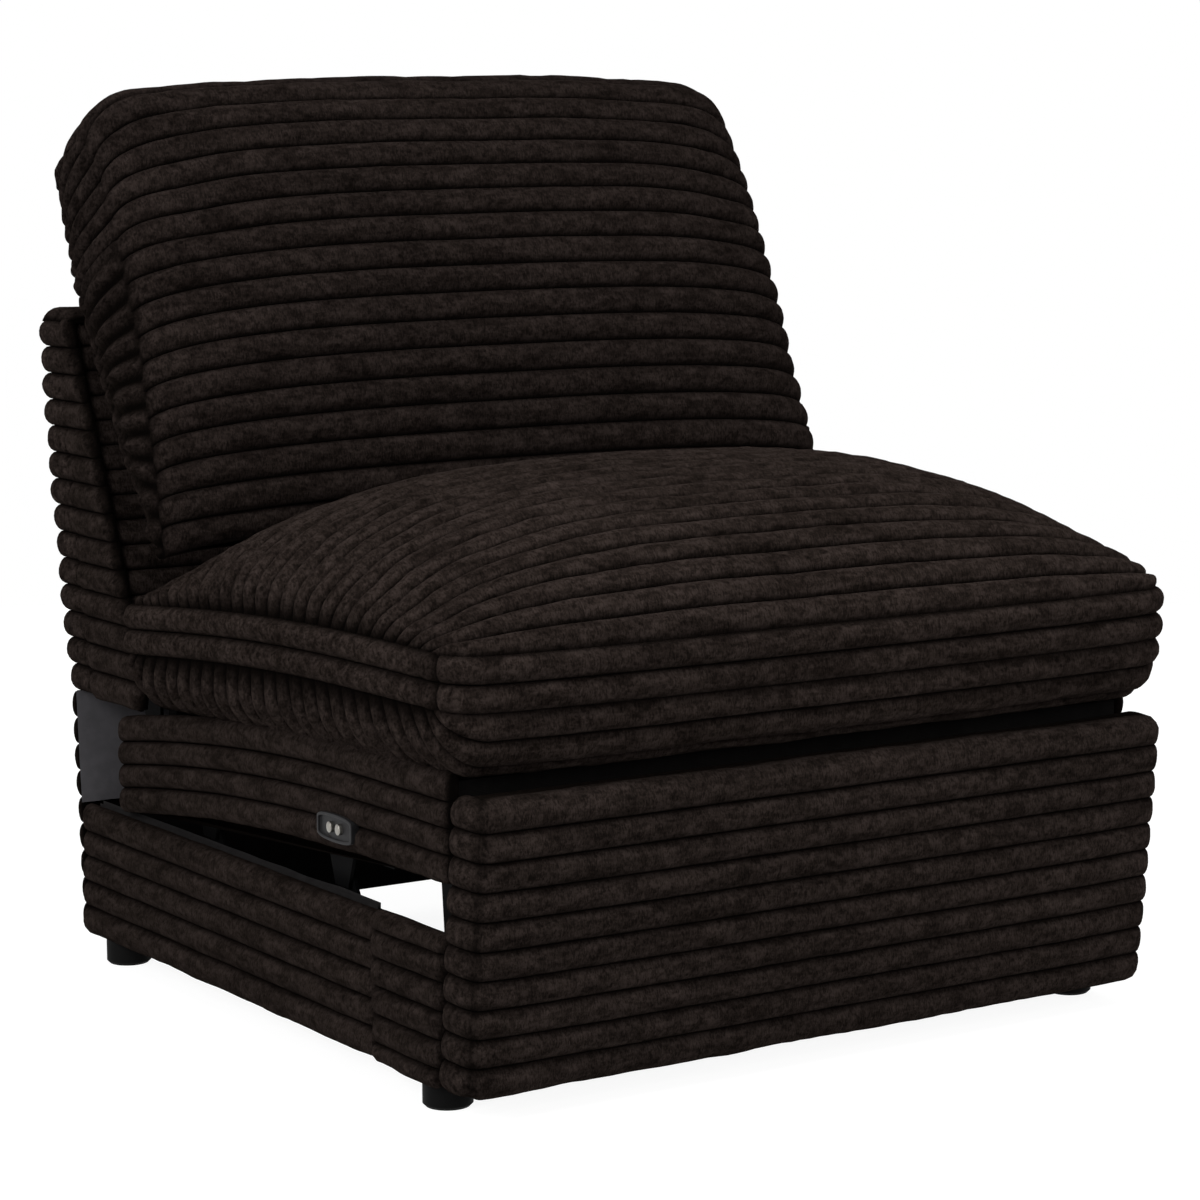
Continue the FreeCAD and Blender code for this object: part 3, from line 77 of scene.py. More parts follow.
scene = bpy.context.scene
scene.view_settings.view_transform = "Standard"


def seen_directly(tree):
    """One for camera, glossy and transmission rays, nought for light that falls on the object."""
    path = tree.nodes.new("ShaderNodeLightPath")
    total = path.outputs["Is Camera Ray"]
    for name in ("Is Glossy Ray", "Is Transmission Ray"):
        either = tree.nodes.new("ShaderNodeMath")
        either.operation = "MAXIMUM"
        tree.links.new(total, either.inputs[0])
        tree.links.new(path.outputs[name], either.inputs[1])
        total = either.outputs[0]
    return total


world = bpy.data.worlds.new("soft_room")
scene.world = world
world.use_nodes = True
nodes = world.node_tree.nodes
links = world.node_tree.links
room = nodes["Background"]
room.inputs["Color"].default_value = (1.0, 1.0, 1.0, 1.0)
room.inputs["Strength"].default_value = 0.3
white = nodes.new("ShaderNodeBackground")
white.inputs["Color"].default_value = (1.0, 1.0, 1.0, 1.0)
white.inputs["Strength"].default_value = 1.0
pick = nodes.new("ShaderNodeMixShader")
links.new(seen_directly(world.node_tree), pick.inputs["Fac"])
links.new(room.outputs[0], pick.inputs[1])
links.new(white.outputs[0], pick.inputs[2])
links.new(pick.outputs[0], nodes["World Output"].inputs["Surface"])


def soft_lamp(name, place, aim, size, power):
    """A square soft box turned towards the point that it lights."""
    bpy.ops.object.light_add(type="AREA", location=place)
    lamp = bpy.context.object
    lamp.name = name
    lamp.data.size = size
    lamp.data.energy = power
    lamp.rotation_euler = (Vector(aim) - Vector(place)).to_track_quat("-Z", "Y").to_euler()


CHAIR_MIDDLE = (0.0, 0.0, 0.4)
soft_lamp("lamp_over", (-0.6, -0.9, 3.2), CHAIR_MIDDLE, 1.8, 54.0)
soft_lamp("lamp_left", (-3.2, -0.9, 1.9), CHAIR_MIDDLE, 1.6, 72.0)
soft_lamp("lamp_front", (0.9, -3.6, 1.7), CHAIR_MIDDLE, 1.8, 66.0)
soft_lamp("lamp_behind", (1.6, 3.2, 1.9), CHAIR_MIDDLE, 2.2, 55.0)

bpy.ops.mesh.primitive_circle_add(vertices=96, radius=3.3, fill_type="NGON")
floor = bpy.context.object
floor.name = "floor"
paper = bpy.data.materials.new("pale_floor")
paper.use_nodes = True
nodes = paper.node_tree.nodes
links = paper.node_tree.links
matt = nodes["Principled BSDF"]
matt.inputs["Base Color"].default_value = (0.5, 0.5, 0.5, 1.0)
matt.inputs["Roughness"].default_value = 0.9
matt.inputs["Specular IOR Level"].default_value = 0.0
glow = nodes.new("ShaderNodeEmission")
glow.inputs["Strength"].default_value = 1.53
blend = nodes.new("ShaderNodeMixShader")
seen = nodes.new("ShaderNodeMath")
seen.operation = "MULTIPLY"
links.new(seen_directly(paper.node_tree), seen.inputs[0])
seen.inputs[1].default_value = 0.6
links.new(seen.outputs[0], blend.inputs["Fac"])
links.new(matt.outputs[0], blend.inputs[1])
links.new(glow.outputs[0], blend.inputs[2])
links.new(blend.outputs[0], nodes["Material Output"].inputs["Surface"])
floor.data.materials.append(paper)

# Timber boards of base, seat, footrest and back: plywood wrapped in thin black cloth. They are
# screwed together at the corners and carry the padding, so only their inner faces are seen.


def noise_node(tree, vector, scale, detail, rough=0.5):
    """A noise's value from 0 to 1 at a place."""
    node = tree.nodes.new("ShaderNodeTexNoise")
    node.inputs["Scale"].default_value = scale
    node.inputs["Detail"].default_value = detail
    node.inputs["Roughness"].default_value = rough
    tree.links.new(vector, node.inputs["Vector"])
    return node.outputs["Fac"]


def mix_node(tree, share, first, last, kind="MIX"):
    """A colour mix; first and last are colours or sockets."""
    node = tree.nodes.new("ShaderNodeMix")
    node.data_type = "RGBA"
    node.blend_type = kind
    for value, socket in ((share, node.inputs[0]), (first, node.inputs[6]), (last, node.inputs[7])):
        if isinstance(value, bpy.types.NodeSocket):
            tree.links.new(value, socket)
        else:
            socket.default_value = value
    return node.outputs[2]


def ramp_node(tree, value, low, high, start=0.0, end=1.0):
    """Maps a value from low..high to start..end, held at both."""
    node = tree.nodes.new("ShaderNodeMapRange")
    node.interpolation_type = "SMOOTHSTEP"
    tree.links.new(value, node.inputs["Value"])
    node.inputs["From Min"].default_value = low
    node.inputs["From Max"].default_value = high
    node.inputs["To Min"].default_value = start
    node.inputs["To Max"].default_value = end
    return node.outputs["Result"]


def math_node(tree, kind, first, last=0.0):
    """A maths node; first and last are numbers or sockets."""
    node = tree.nodes.new("ShaderNodeMath")
    node.operation = kind
    for value, socket in ((first, node.inputs[0]), (last, node.inputs[1])):
        if isinstance(value, bpy.types.NodeSocket):
            tree.links.new(value, socket)
        else:
            socket.default_value = value
    return node.outputs[0]


def times(tree, first, last):
    return math_node(tree, "MULTIPLY", first, last)


def ridges(tree, turns):
    """Rounded ridges, one for each half turn."""
    return math_node(tree, "ABSOLUTE", math_node(tree, "SINE", turns))


def object_place(tree):
    return tree.nodes.new("ShaderNodeTexCoord").outputs["Object"]


def object_axes(tree):
    """Object coordinates as X, Y and Z."""
    split = tree.nodes.new("ShaderNodeSeparateXYZ")
    tree.links.new(object_place(tree), split.inputs[0])
    return split.outputs


def new_group(name, inputs, outputs):
    """A shader group with its input and output nodes; both lists hold pairs of name and kind."""
    tree = bpy.data.node_groups.new(name, "ShaderNodeTree")
    for label, kind in inputs:
        tree.interface.new_socket(name=label, in_out="INPUT", socket_type="NodeSocket" + kind)
    for label, kind in outputs:
        tree.interface.new_socket(name=label, in_out="OUTPUT", socket_type="NodeSocket" + kind)
    return tree, tree.nodes.new("NodeGroupInput").outputs, tree.nodes.new("NodeGroupOutput").inputs


def surface(name, group, values, rough, bump_strength, bump_distance, **sockets):
    """A material whose group gives Color, Rough and Height; sockets go on the shader itself."""
    made = bpy.data.materials.new(name)
    made.use_nodes = True
    tree = made.node_tree
    shader = tree.nodes["Principled BSDF"]
    pattern = tree.nodes.new("ShaderNodeGroup")
    pattern.node_tree = group
    for label, value in values.items():
        pattern.inputs[label].default_value = value
    bump = tree.nodes.new("ShaderNodeBump")
    bump.inputs["Strength"].default_value = bump_strength
    bump.inputs["Distance"].default_value = bump_distance
    tree.links.new(pattern.outputs["Color"], shader.inputs["Base Color"])
    tree.links.new(pattern.outputs["Height"], bump.inputs["Height"])
    tree.links.new(bump.outputs["Normal"], shader.inputs["Normal"])
    if rough is None:
        tree.links.new(pattern.outputs["Rough"], shader.inputs["Roughness"])
    else:
        shader.inputs["Roughness"].default_value = rough
    for label, value in sockets.items():
        shader.inputs[label.replace("_", " ")].default_value = value
    return made


def woven_group():
    """Plain weave: two sets of threads crossing over and under."""
    tree, given, result = new_group(
        "plain_weave",
        [("Light", "Color"), ("Dark", "Color"), ("Thread", "Float")],
        [("Color", "Color"), ("Height", "Float")],
    )
    axes = object_axes(tree)
    waves = []
    for axis in (math_node(tree, "ADD", axes["X"], axes["Y"]), axes["Z"]):
        turns = times(tree, math_node(tree, "DIVIDE", axis, given["Thread"]), math.pi)
        waves.append(ridges(tree, turns))
    height = times(tree, waves[0], waves[1])
    fuzz = noise_node(tree, object_place(tree), 60.0, 4.0, 0.6)
    shade = times(tree, ramp_node(tree, fuzz, 0.3, 0.7, 0.45, 1.0), height)
    tree.links.new(mix_node(tree, shade, given["Dark"], given["Light"]), result["Color"])
    tree.links.new(height, result["Height"])
    return tree


plain_weave = woven_group()
black_cloth = surface(
    "black_board_cloth", plain_weave,
    {
        "Light": (0.0080, 0.0074, 0.0070, 1.0), "Dark": (0.0025, 0.0023, 0.0022, 1.0),
        "Thread": 0.0016,
    },
    0.92, 0.4, 0.0008, Specular_IOR_Level=0.02,
)


def finish_nodes(material, slot_name, *names):
    """Gives CAD parts that stay their material."""
    for name in names:
        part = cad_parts[name]
        for place in part.material_slots:
            place.material = material


finish_nodes(
    black_cloth, "timber",
    "base_side_left", "base_side_right", "base_front_rail", "base_rear_rail",
    "seat_rail_left", "seat_rail_right", "seat_front_board", "seat_rear_rail",
    "footrest_board", "back_side_board_left", "back_side_board_right", "back_rails",
)

# Feet: four short turned black plastic glides, screwed up into the base's corners. Their walls are
# satin and a little scuffed.


def moulded_group():
    """Moulded or enamelled skin: fine orange peel, and worn paler patches with dust."""
    tree, given, result = new_group(
        "worn_skin",
        [("Base", "Color"), ("Worn", "Color"), ("Grain", "Float"), ("Gloss", "Float")],
        [("Color", "Color"), ("Rough", "Float"), ("Height", "Float")],
    )
    place = object_place(tree)
    scuff = ramp_node(tree, noise_node(tree, place, 55.0, 6.0, 0.72), 0.56, 0.74)
    dust = ramp_node(tree, noise_node(tree, place, 9.0, 3.0), 0.35, 0.75, 0.0, 0.45)
    share = math_node(tree, "MAXIMUM", times(tree, scuff, 0.6), dust)
    tree.links.new(mix_node(tree, share, given["Base"], given["Worn"]), result["Color"])
    rough = math_node(tree, "ADD", given["Gloss"], times(tree, share, 0.25))
    tree.links.new(rough, result["Rough"])
    peel = tree.nodes.new("ShaderNodeTexNoise")
    peel.inputs["Detail"].default_value = 2.0
    tree.links.new(place, peel.inputs["Vector"])
    tree.links.new(given["Grain"], peel.inputs["Scale"])
    tree.links.new(peel.outputs["Fac"], result["Height"])
    return tree


worn_skin = moulded_group()
foot_plastic = surface(
    "foot_plastic", worn_skin,
    {
        "Base": (0.0040, 0.0040, 0.0040, 1.0), "Worn": (0.0085, 0.0082, 0.0078, 1.0),
        "Grain": 700.0, "Gloss": 0.6,
    },
    None, 0.25, 0.0006, Specular_IOR_Level=0.04,
)
finish_nodes(foot_plastic, "feet", "feet")

# Steel mechanism: angles on the base, swing links, seat plates, footrest tongs and tubes. Pressed
# plate and square tube in black enamel, riveted and welded, worn thin along the moving faces.

black_enamel = surface(
    "black_enamel", worn_skin,
    {
        "Base": (0.0026, 0.0026, 0.0028, 1.0), "Worn": (0.0065, 0.0062, 0.0058, 1.0),
        "Grain": 420.0, "Gloss": 0.55,
    },
    None, 0.2, 0.0005, Specular_IOR_Level=0.03,
)
finish_nodes(
    black_enamel, "black_steel",
    "base_angles", "front_swing_links", "rear_swing_links", "seat_plates", "cross_tubes",
    "push_rods", "long_links", "cross_links", "short_links", "torque_tube", "footrest_brackets",
    "back_brackets", "push_arms", "track_hanger", "actuator_track",
)

# Drive: a motor and gearbox in black mouldings on the rear cross tube turn a bright lead screw that
# carries the block along its track. A socket at the back takes the power lead.

housing = surface(
    "motor_housing", worn_skin,
    {
        "Base": (0.0045, 0.0045, 0.0048, 1.0), "Worn": (0.0100, 0.0100, 0.0100, 1.0),
        "Grain": 900.0, "Gloss": 0.55,
    },
    None, 0.35, 0.0008, Specular_IOR_Level=0.05,
)
finish_nodes(housing, "motor_plastic", "motor", "gearbox", "power_inlet", "drive_block")


def thread_group():
    """Bright rolled screw: lighter crests and darker roots along its axis."""
    tree, given, result = new_group(
        "rolled_thread",
        [("Crest", "Color"), ("Root", "Color"), ("Pitch", "Float")],
        [("Color", "Color"), ("Rough", "Float"), ("Height", "Float")],
    )
    turn = math_node(tree, "DIVIDE", object_axes(tree)["Y"], given["Pitch"])
    wave = ridges(tree, times(tree, turn, math.pi))
    tree.links.new(mix_node(tree, wave, given["Root"], given["Crest"]), result["Color"])
    smear = ramp_node(tree, noise_node(tree, object_place(tree), 80.0, 3.0), 0.3, 0.7, 0.25, 0.5)
    tree.links.new(smear, result["Rough"])
    tree.links.new(wave, result["Height"])
    return tree


bright_screw = surface(
    "bright_screw", thread_group(),
    {"Crest": (0.34, 0.34, 0.34, 1.0), "Root": (0.10, 0.095, 0.085, 1.0), "Pitch": 0.003},
    None, 0.6, 0.0006, Metallic=1.0,
)
finish_nodes(bright_screw, "bright_steel", "lead_screw")

# Base sides: timber boards padded with foam and covered in plush sewn in five long channels. The
# cloth is stapled under the boards and its pile brushes lighter and darker in streaks.


def pile_group():
    """Brushed pile: streaks along a channel, tufts across it, and painted near-black shade in the
    grooves between channels.
    """
    tree, given, result = new_group(
        "brushed_pile",
        [("Seam", "Color"), ("Shade", "Color"), ("Crest", "Color"), ("Run", "Vector")],
        [("Color", "Color"), ("Height", "Float")],
    )
    place = object_place(tree)
    along = tree.nodes.new("ShaderNodeVectorMath")
    along.operation = "MULTIPLY"
    tree.links.new(place, along.inputs[0])
    tree.links.new(given["Run"], along.inputs[1])
    streak = ramp_node(tree, noise_node(tree, along.outputs[0], 78.0, 5.0, 0.72), 0.33, 0.65)
    patch = ramp_node(tree, noise_node(tree, along.outputs[0], 11.0, 2.0), 0.33, 0.68)
    crosswise = tree.nodes.new("ShaderNodeVectorMath")
    crosswise.operation = "DIVIDE"
    crosswise.inputs[0].default_value = (0.75, 0.75, 0.75)
    tree.links.new(given["Run"], crosswise.inputs[1])
    strokes = tree.nodes.new("ShaderNodeVectorMath")
    strokes.operation = "MULTIPLY"
    tree.links.new(place, strokes.inputs[0])
    tree.links.new(crosswise.outputs[0], strokes.inputs[1])
    tuft = noise_node(tree, strokes.outputs[0], 260.0, 3.0, 0.8)
    curl = noise_node(tree, place, 120.0, 2.0, 0.6)
    # Painted shade: the crest attribute, each channel's share of its full height, mixes near-black
    # shade into the grooves between channels.
    depth = tree.nodes.new("ShaderNodeAttribute")
    depth.attribute_name = "crest"
    lift = ramp_node(tree, depth.outputs["Fac"], 0.10, 0.86)
    brushed = math_node(tree, "ADD", times(tree, streak, 0.8), times(tree, patch, 0.2))
    colour = mix_node(tree, brushed, given["Shade"], given["Crest"])
    hairs = math_node(tree, "ADD", times(tree, tuft, 0.65), times(tree, curl, 0.35))
    fleck = ramp_node(tree, hairs, 0.38, 0.62, 0.48, 1.52)
    grey = tree.nodes.new("ShaderNodeCombineColor")
    for socket in grey.inputs[:3]:
        tree.links.new(fleck, socket)
    colour = mix_node(tree, 1.0, colour, grey.outputs[0], "MULTIPLY")
    tree.links.new(mix_node(tree, lift, given["Seam"], colour), result["Color"])
    tree.links.new(math_node(tree, "ADD", times(tree, curl, 0.8), tuft), result["Height"])
    return tree


brushed_pile = pile_group()
# Painted shade for the grooves between channels.
SEAM_PAINTED_SHADE = (0.0022, 0.0017, 0.0015, 1.0)


def plush_cloth(name, run, shade, crest):
    """A plush whose streaks follow the channels; run shrinks the pattern along them."""
    return surface(
        name, brushed_pile, {"Seam": SEAM_PAINTED_SHADE, "Shade": shade, "Crest": crest, "Run": run},
        0.95, 0.8, 0.0026, Specular_IOR_Level=0.0, Sheen_Weight=0.015, Sheen_Roughness=0.4,
        Sheen_Tint=(0.75, 0.58, 0.48, 1.0),
    )


PLUSH_SHADE = (0.0085, 0.0063, 0.0055, 1.0)
PLUSH_CREST = (0.0245, 0.0182, 0.0160, 1.0)
plush_along = plush_cloth("plush_along", (1.0, 0.35, 1.0), PLUSH_SHADE, PLUSH_CREST)
plush_across = plush_cloth("plush_across", (0.35, 1.0, 1.0), PLUSH_SHADE, PLUSH_CREST)


CHANNEL_ROUND = 0.85


def channels(seams, steps=9):
    """Places from seam to seam, each with its share of a channel's full rounded height."""
    places = []
    for low, high in zip(seams, seams[1:]):
        for k in range(steps):
            turn = math.pi * k / steps
            share = math.sin(turn) ** CHANNEL_ROUND
            places.append((low + (high - low) * (1 - math.cos(turn)) / 2, share))
    return places + [(seams[-1], 0.0)]


def even(low, high, count):
    """Places from low to high in equal steps."""
    return [low + (high - low) * k / count for k in range(count + 1)]


def rolled(distance, reach):
    """Share of full height at a distance in from a seam, round a quarter circle."""
    inside = min(1.0, max(0.0, distance) / reach)
    return math.sqrt(max(0.0, 1 - (1 - inside) ** 2))


def corner_loss(radius, beyond):
    """How far a rounded corner falls back at a distance beyond where it starts."""
    return radius - math.sqrt(max(0.0, radius ** 2 - max(0.0, beyond) ** 2))


def tucked(low, high, step, reach, size, least=0.0):
    """Places from low to high, closer near both ends, with the share left where a seam tucks in.

    size is the real length from low to high, step and reach are real lengths, and least is what a
    seam leaves."""
    near = [reach * (1 - math.cos(math.pi / 2 * k / 5)) for k in range(5)]
    middle = even(reach, size - reach, max(1, round((size - 2 * reach) / step)))
    places = near + middle + [size - d for d in reversed(near)]
    result = []
    for d in places:
        share = least + (1 - least) * rolled(min(d, size - d), reach)
        result.append((low + (high - low) * d / size, share))
    return result


def closed_grid(points, label, kind, values):
    """A mesh through a grid of points, with a value at each, its doubles merged and ends closed."""
    bpy.ops.object.select_all(action="DESELECT")
    bpy.ops.mesh.primitive_grid_add(
        x_subdivisions=points.shape[1] - 1, y_subdivisions=points.shape[0] - 1, size=1.0)
    made = bpy.context.object
    made.data.vertices.foreach_set("co", points.reshape(-1))
    made.data.attributes.new(label, kind, "POINT").data.foreach_set("value", values.reshape(-1))
    made.data.update()
    bpy.ops.object.mode_set(mode="EDIT")
    bpy.ops.mesh.select_all(action="SELECT")
    bpy.ops.mesh.remove_doubles(threshold=0.00002)
    bpy.ops.mesh.fill_holes(sides=0)
    bpy.ops.mesh.select_all(action="SELECT")
    bpy.ops.mesh.normals_make_consistent(inside=False)
    bpy.ops.object.mode_set(mode="OBJECT")
    return made


LUMP_SIZES = ((11.0, 0.0022), (38.0, 0.0011), (110.0, 0.0005))


def lump(point):
    """The stuffing's unevenness at a point, large soft lumps with smaller ones on them."""
    return sum(noise.noise(Vector(point) * scale) * height for scale, height in LUMP_SIZES)


def sewn_skin(name, place, columns, rows, puff, material, stands_for, body, **choices):
    """A closed channelled skin over a form; columns go round it and rows go across.

    Columns and rows are pairs of a place and its share of the channels' height. choices: ring joins
    the last row to the first, pattern gives the share itself, form the ready points; fill and slot
    are not used."""
    ring = choices.get("ring", False)
    pattern = choices.get("pattern")
    base = choices.get("form")
    if base is None:
        base = np.array([[place(s, t) for s, _ in columns] for t, _ in rows])
    if pattern:
        share = np.array([[pattern(s, t, c, r) for s, c in columns] for t, r in rows])
    else:
        share = np.outer([f for _, f in rows], [f for _, f in columns])
    across = np.roll(base, -1, axis=1) - np.roll(base, 1, axis=1)
    if ring:
        upward = np.roll(base, -1, axis=0) - np.roll(base, 1, axis=0)
    else:
        upward = np.gradient(base, axis=0)
    out = np.cross(across, upward)
    size = np.linalg.norm(out, axis=2, keepdims=True)
    out = out / np.maximum(size, 1e-12)
    if (out * (base - base.mean(axis=(0, 1)))).sum() < 0:
        out = -out
    lumps = np.array([[lump(p) for p in row] for row in base])
    skin = base + out * (puff * share + lumps * (0.25 + share))[:, :, None]
    skin = np.concatenate([skin, skin[:, :1]], axis=1)
    share = np.concatenate([share, share[:, :1]], axis=1)
    if ring:
        skin = np.concatenate([skin, skin[:1]])
        share = np.concatenate([share, share[:1]])
    piece = closed_grid(skin, "crest", "FLOAT", share)
    piece.name = name
    bpy.ops.object.shade_smooth()
    dress(piece, material, stands_for, body)
    return piece


def dress(piece, material, stands_for, body):
    """Gives a piece its material, finish and body, and hides the CAD nodes that it stands for."""
    bpy.ops.object.select_all(action="DESELECT")
    piece.select_set(True)
    bpy.context.view_layer.objects.active = piece
    bpy.ops.object.transform_apply(location=True, rotation=True, scale=True)
    piece.data.materials.clear()
    piece.data.materials.append(material)
    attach(piece, body)
    if stands_for:
        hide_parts(*stands_for)


GROOVE_HALF = 0.435
BOARD_HALF = 0.427
PAD_EDGE = 0.008
PUFF = 0.012


def pad_round(front, rear, low, high, side):
    """Place function of a thin pad on a board: outside, rear end, inside and front end in turn.

    front, rear are functions of height; low, high of the distance back."""
    def place(s, t):
        quarter = int(s)
        f = s - quarter
        tall = high(0.0) - low(0.0)
        z = low(0.0) + tall * t
        inset = corner_loss(PAD_EDGE, PAD_EDGE - min(t, 1 - t) * tall)
        outer = GROOVE_HALF - inset
        near, far = front(z), rear(z)
        x, u = [
            (outer, near + (far - near) * f),
            (outer + (BOARD_HALF - outer) * f, far),
            (BOARD_HALF, far + (near - far) * f),
            (BOARD_HALF + (outer - BOARD_HALF) * f, near),
        ][quarter]
        return (side * x, u + FACE_Y, low(u) + (high(u) - low(u)) * t)
    return place


def pad_columns(length, step=0.03, least=0.0):
    """Columns round such a pad: tucked in at its ends, plain inside."""
    outside = tucked(0.0, 1.0, step, 0.011, length, least)
    inside = [(2 + f, 0.0) for f in even(0.0, 1.0, max(2, round(length / 0.06)))]
    return outside + [(1.5, 0.25)] + inside[:-1] + [(3.0, 0.0), (3.5, 0.25)]


def board_columns(step, length, end, count):
    """Columns round a flat pad: its seen side tucked in at both ends, and plain behind."""
    seen = tucked(0.0, 1.0, step, 0.016, length)
    behind = [(2 + f, 0.0) for f in even(0.0, 1.0, count)]
    return seen + [(1.5, end)] + behind + [(3.5, end)]


def level(height):
    return lambda back: height


SIDES = (("left", -1), ("right", 1))
BASE_FRONT, BASE_REAR = 0.213, 0.903
BASE_LOW, BASE_HIGH = level(0.032), level(0.182)
for label, side in SIDES:
    sewn_skin(
        "base_side_plush_" + label,
        pad_round(level(BASE_FRONT), level(BASE_REAR), BASE_LOW, BASE_HIGH, side),
        pad_columns(BASE_REAR - BASE_FRONT, 0.012, 0.3),
        channels(even(0.0, 1.0, 5)),
        PUFF, plush_along, ["base_cover_" + label], "base",
    )

# Front corners: the same plush carried round the board's front end as a separate wrap, its channels
# half a step lower and their ends pushed out in small bulges along the joining seam.


def sloped(back_at_zero, slope):
    return lambda floor: back_at_zero + slope * floor


PANEL_LEAN = math.tan(math.radians(5.5))
WRAP_REAR = BASE_FRONT + 0.0035
for label, side in SIDES:
    sewn_skin(
        "corner_plush_" + label,
        pad_round(sloped(0.0919, -PANEL_LEAN), level(WRAP_REAR), BASE_LOW, BASE_HIGH, side),
        pad_columns(0.13, 0.01, 0.3),
        channels([0.0, 0.1, 0.3, 0.5, 0.7, 0.9, 1.0]),
        PUFF * 1.15, plush_along, ["corner_wrap_" + label], "base",
    )

# Base bindings: two loose layers of dark grey tape stapled inside the top edge of each side, where
# the plush ends. They lie a little slack and wavy.

binding_tape = surface(
    "binding_tape", plain_weave,
    {"Light": (0.030, 0.028, 0.028, 1.0), "Dark": (0.010, 0.0095, 0.0095, 1.0), "Thread": 0.0011},
    0.9, 0.5, 0.0006, Specular_IOR_Level=0.02,
)
TAPE_START, TAPE_LONG = 0.228, 0.655


def tape(name, side, x, low, high, wave):
    """A slack strip of tape standing along the top edge of a base side."""
    bpy.ops.object.select_all(action="DESELECT")
    bpy.ops.mesh.primitive_grid_add(x_subdivisions=60, y_subdivisions=3, size=1.0)
    strip = bpy.context.object
    strip.name = name
    for vertex in strip.data.vertices:
        along = vertex.co.x + 0.5
        up = vertex.co.y + 0.5
        u = TAPE_START + TAPE_LONG * along
        slack = noise.noise(Vector((u * 9.0, wave, 0.0)))
        sway = noise.noise(Vector((u * 14.0, wave + 5.0, 0.0)))
        z = low + (high - low) * up + 0.0022 * slack
        vertex.co = (side * (x + 0.0018 * sway * (0.4 + up)), u + FACE_Y, z)
    strip.data.update()
    bpy.ops.object.shade_smooth()
    dress(strip, binding_tape, [], "base")


for label, side in SIDES:
    tape("base_binding_inner_" + label, side, 0.4245, 0.1735, 0.1895, 1.0)
    tape("base_binding_outer_" + label, side, 0.4275, 0.1730, 0.1870, 7.0)

# Seat sides: rails padded and covered in four long channels, bowed so that they drop towards the
# rear. They are bolted to the seat plates, and the left one carries the switch.

RAIL_FRONT, RAIL_REAR = 0.066, 0.804
RAIL_LOW, RAIL_HIGH = 0.241, 0.349
SEAT_RUN = 0.604
SEAT_DROP = 0.049
BOW_START = 0.200
BOW = (SEAT_RUN ** 2 + SEAT_DROP ** 2) / (2 * SEAT_DROP)


def bow_drop(back):
    """How far the rail has dropped at a distance back, round its long bow."""
    return corner_loss(BOW, back - BOW_START)


for label, side in SIDES:
    sewn_skin(
        "seat_side_plush_" + label,
        pad_round(
            level(RAIL_FRONT), level(RAIL_REAR),
            lambda back: RAIL_LOW - bow_drop(back), lambda back: RAIL_HIGH - bow_drop(back), side,
        ),
        pad_columns(RAIL_REAR - RAIL_FRONT, 0.014),
        channels(even(0.0, 1.0, 4)),
        PUFF, plush_along, ["seat_cover_" + label], "seat",
    )

# Seat webbing: elastic straps woven in black with fine ribs, stapled to the front board and the
# rear rail, one beside another. They carry the cushion.


def strap_group():
    """Ribbed elastic: cords along the strap and a faint cross weave."""
    tree, given, result = new_group(
        "ribbed_elastic",
        [("Cord", "Color"), ("Root", "Color"), ("Pitch", "Float")],
        [("Color", "Color"), ("Height", "Float")],
    )
    axes = object_axes(tree)
    turn = math_node(tree, "DIVIDE", axes["X"], given["Pitch"])
    cord = ridges(tree, times(tree, turn, math.pi))
    cross = ridges(tree, times(tree, axes["Y"], 1500.0))
    height = times(tree, cord, math_node(tree, "ADD", times(tree, cross, 0.3), 0.7))
    tree.links.new(mix_node(tree, height, given["Root"], given["Cord"]), result["Color"])
    tree.links.new(height, result["Height"])
    return tree


elastic = surface(
    "ribbed_strap", strap_group(),
    {"Cord": (0.014, 0.013, 0.013, 1.0), "Root": (0.005, 0.005, 0.005, 1.0), "Pitch": 0.0035},
    0.85, 0.5, 0.0007, Specular_IOR_Level=0.05,
)
finish_nodes(elastic, "webbing", "seat_webbing")

# Switch: a small dark moulded plate with a raised rim and bowed long edges, clipped into the left
# rail through its plush, and two silver push buttons beside each other.

plate_skin = surface(
    "switch_plate_skin", worn_skin,
    {
        "Base": (0.0085, 0.0082, 0.0088, 1.0), "Worn": (0.016, 0.0155, 0.0165, 1.0),
        "Grain": 1500.0, "Gloss": 0.32,
    },
    None, 0.12, 0.0003, Specular_IOR_Level=0.1,
)
silver_cap = surface(
    "silver_cap", worn_skin,
    {
        "Base": (0.30, 0.285, 0.26, 1.0), "Worn": (0.22, 0.21, 0.19, 1.0),
        "Grain": 2200.0, "Gloss": 0.28,
    },
    None, 0.1, 0.0002, Metallic=1.0,
)
PLATE_FACE = -0.4450
PLATE_U = 0.277
PLATE_Z = 0.262


def disc(name, count, outline):
    """A filled disc with a given outline, facing -X, ready to be drawn out."""
    bpy.ops.object.select_all(action="DESELECT")
    bpy.ops.mesh.primitive_circle_add(vertices=count, radius=1.0, fill_type="NGON")
    piece = bpy.context.object
    piece.name = name
    for vertex in piece.data.vertices:
        turn = math.atan2(vertex.co.y, vertex.co.x)
        vertex.co = outline(turn)
    piece.data.update()
    bpy.ops.object.mode_set(mode="EDIT")
    bpy.ops.mesh.select_mode(type="FACE")
    bpy.ops.mesh.select_all(action="SELECT")
    return piece


def draw_out(by):
    """Extrudes the selected face along X."""
    bpy.ops.mesh.extrude_region_move(TRANSFORM_OT_translate={"value": (by, 0.0, 0.0)})


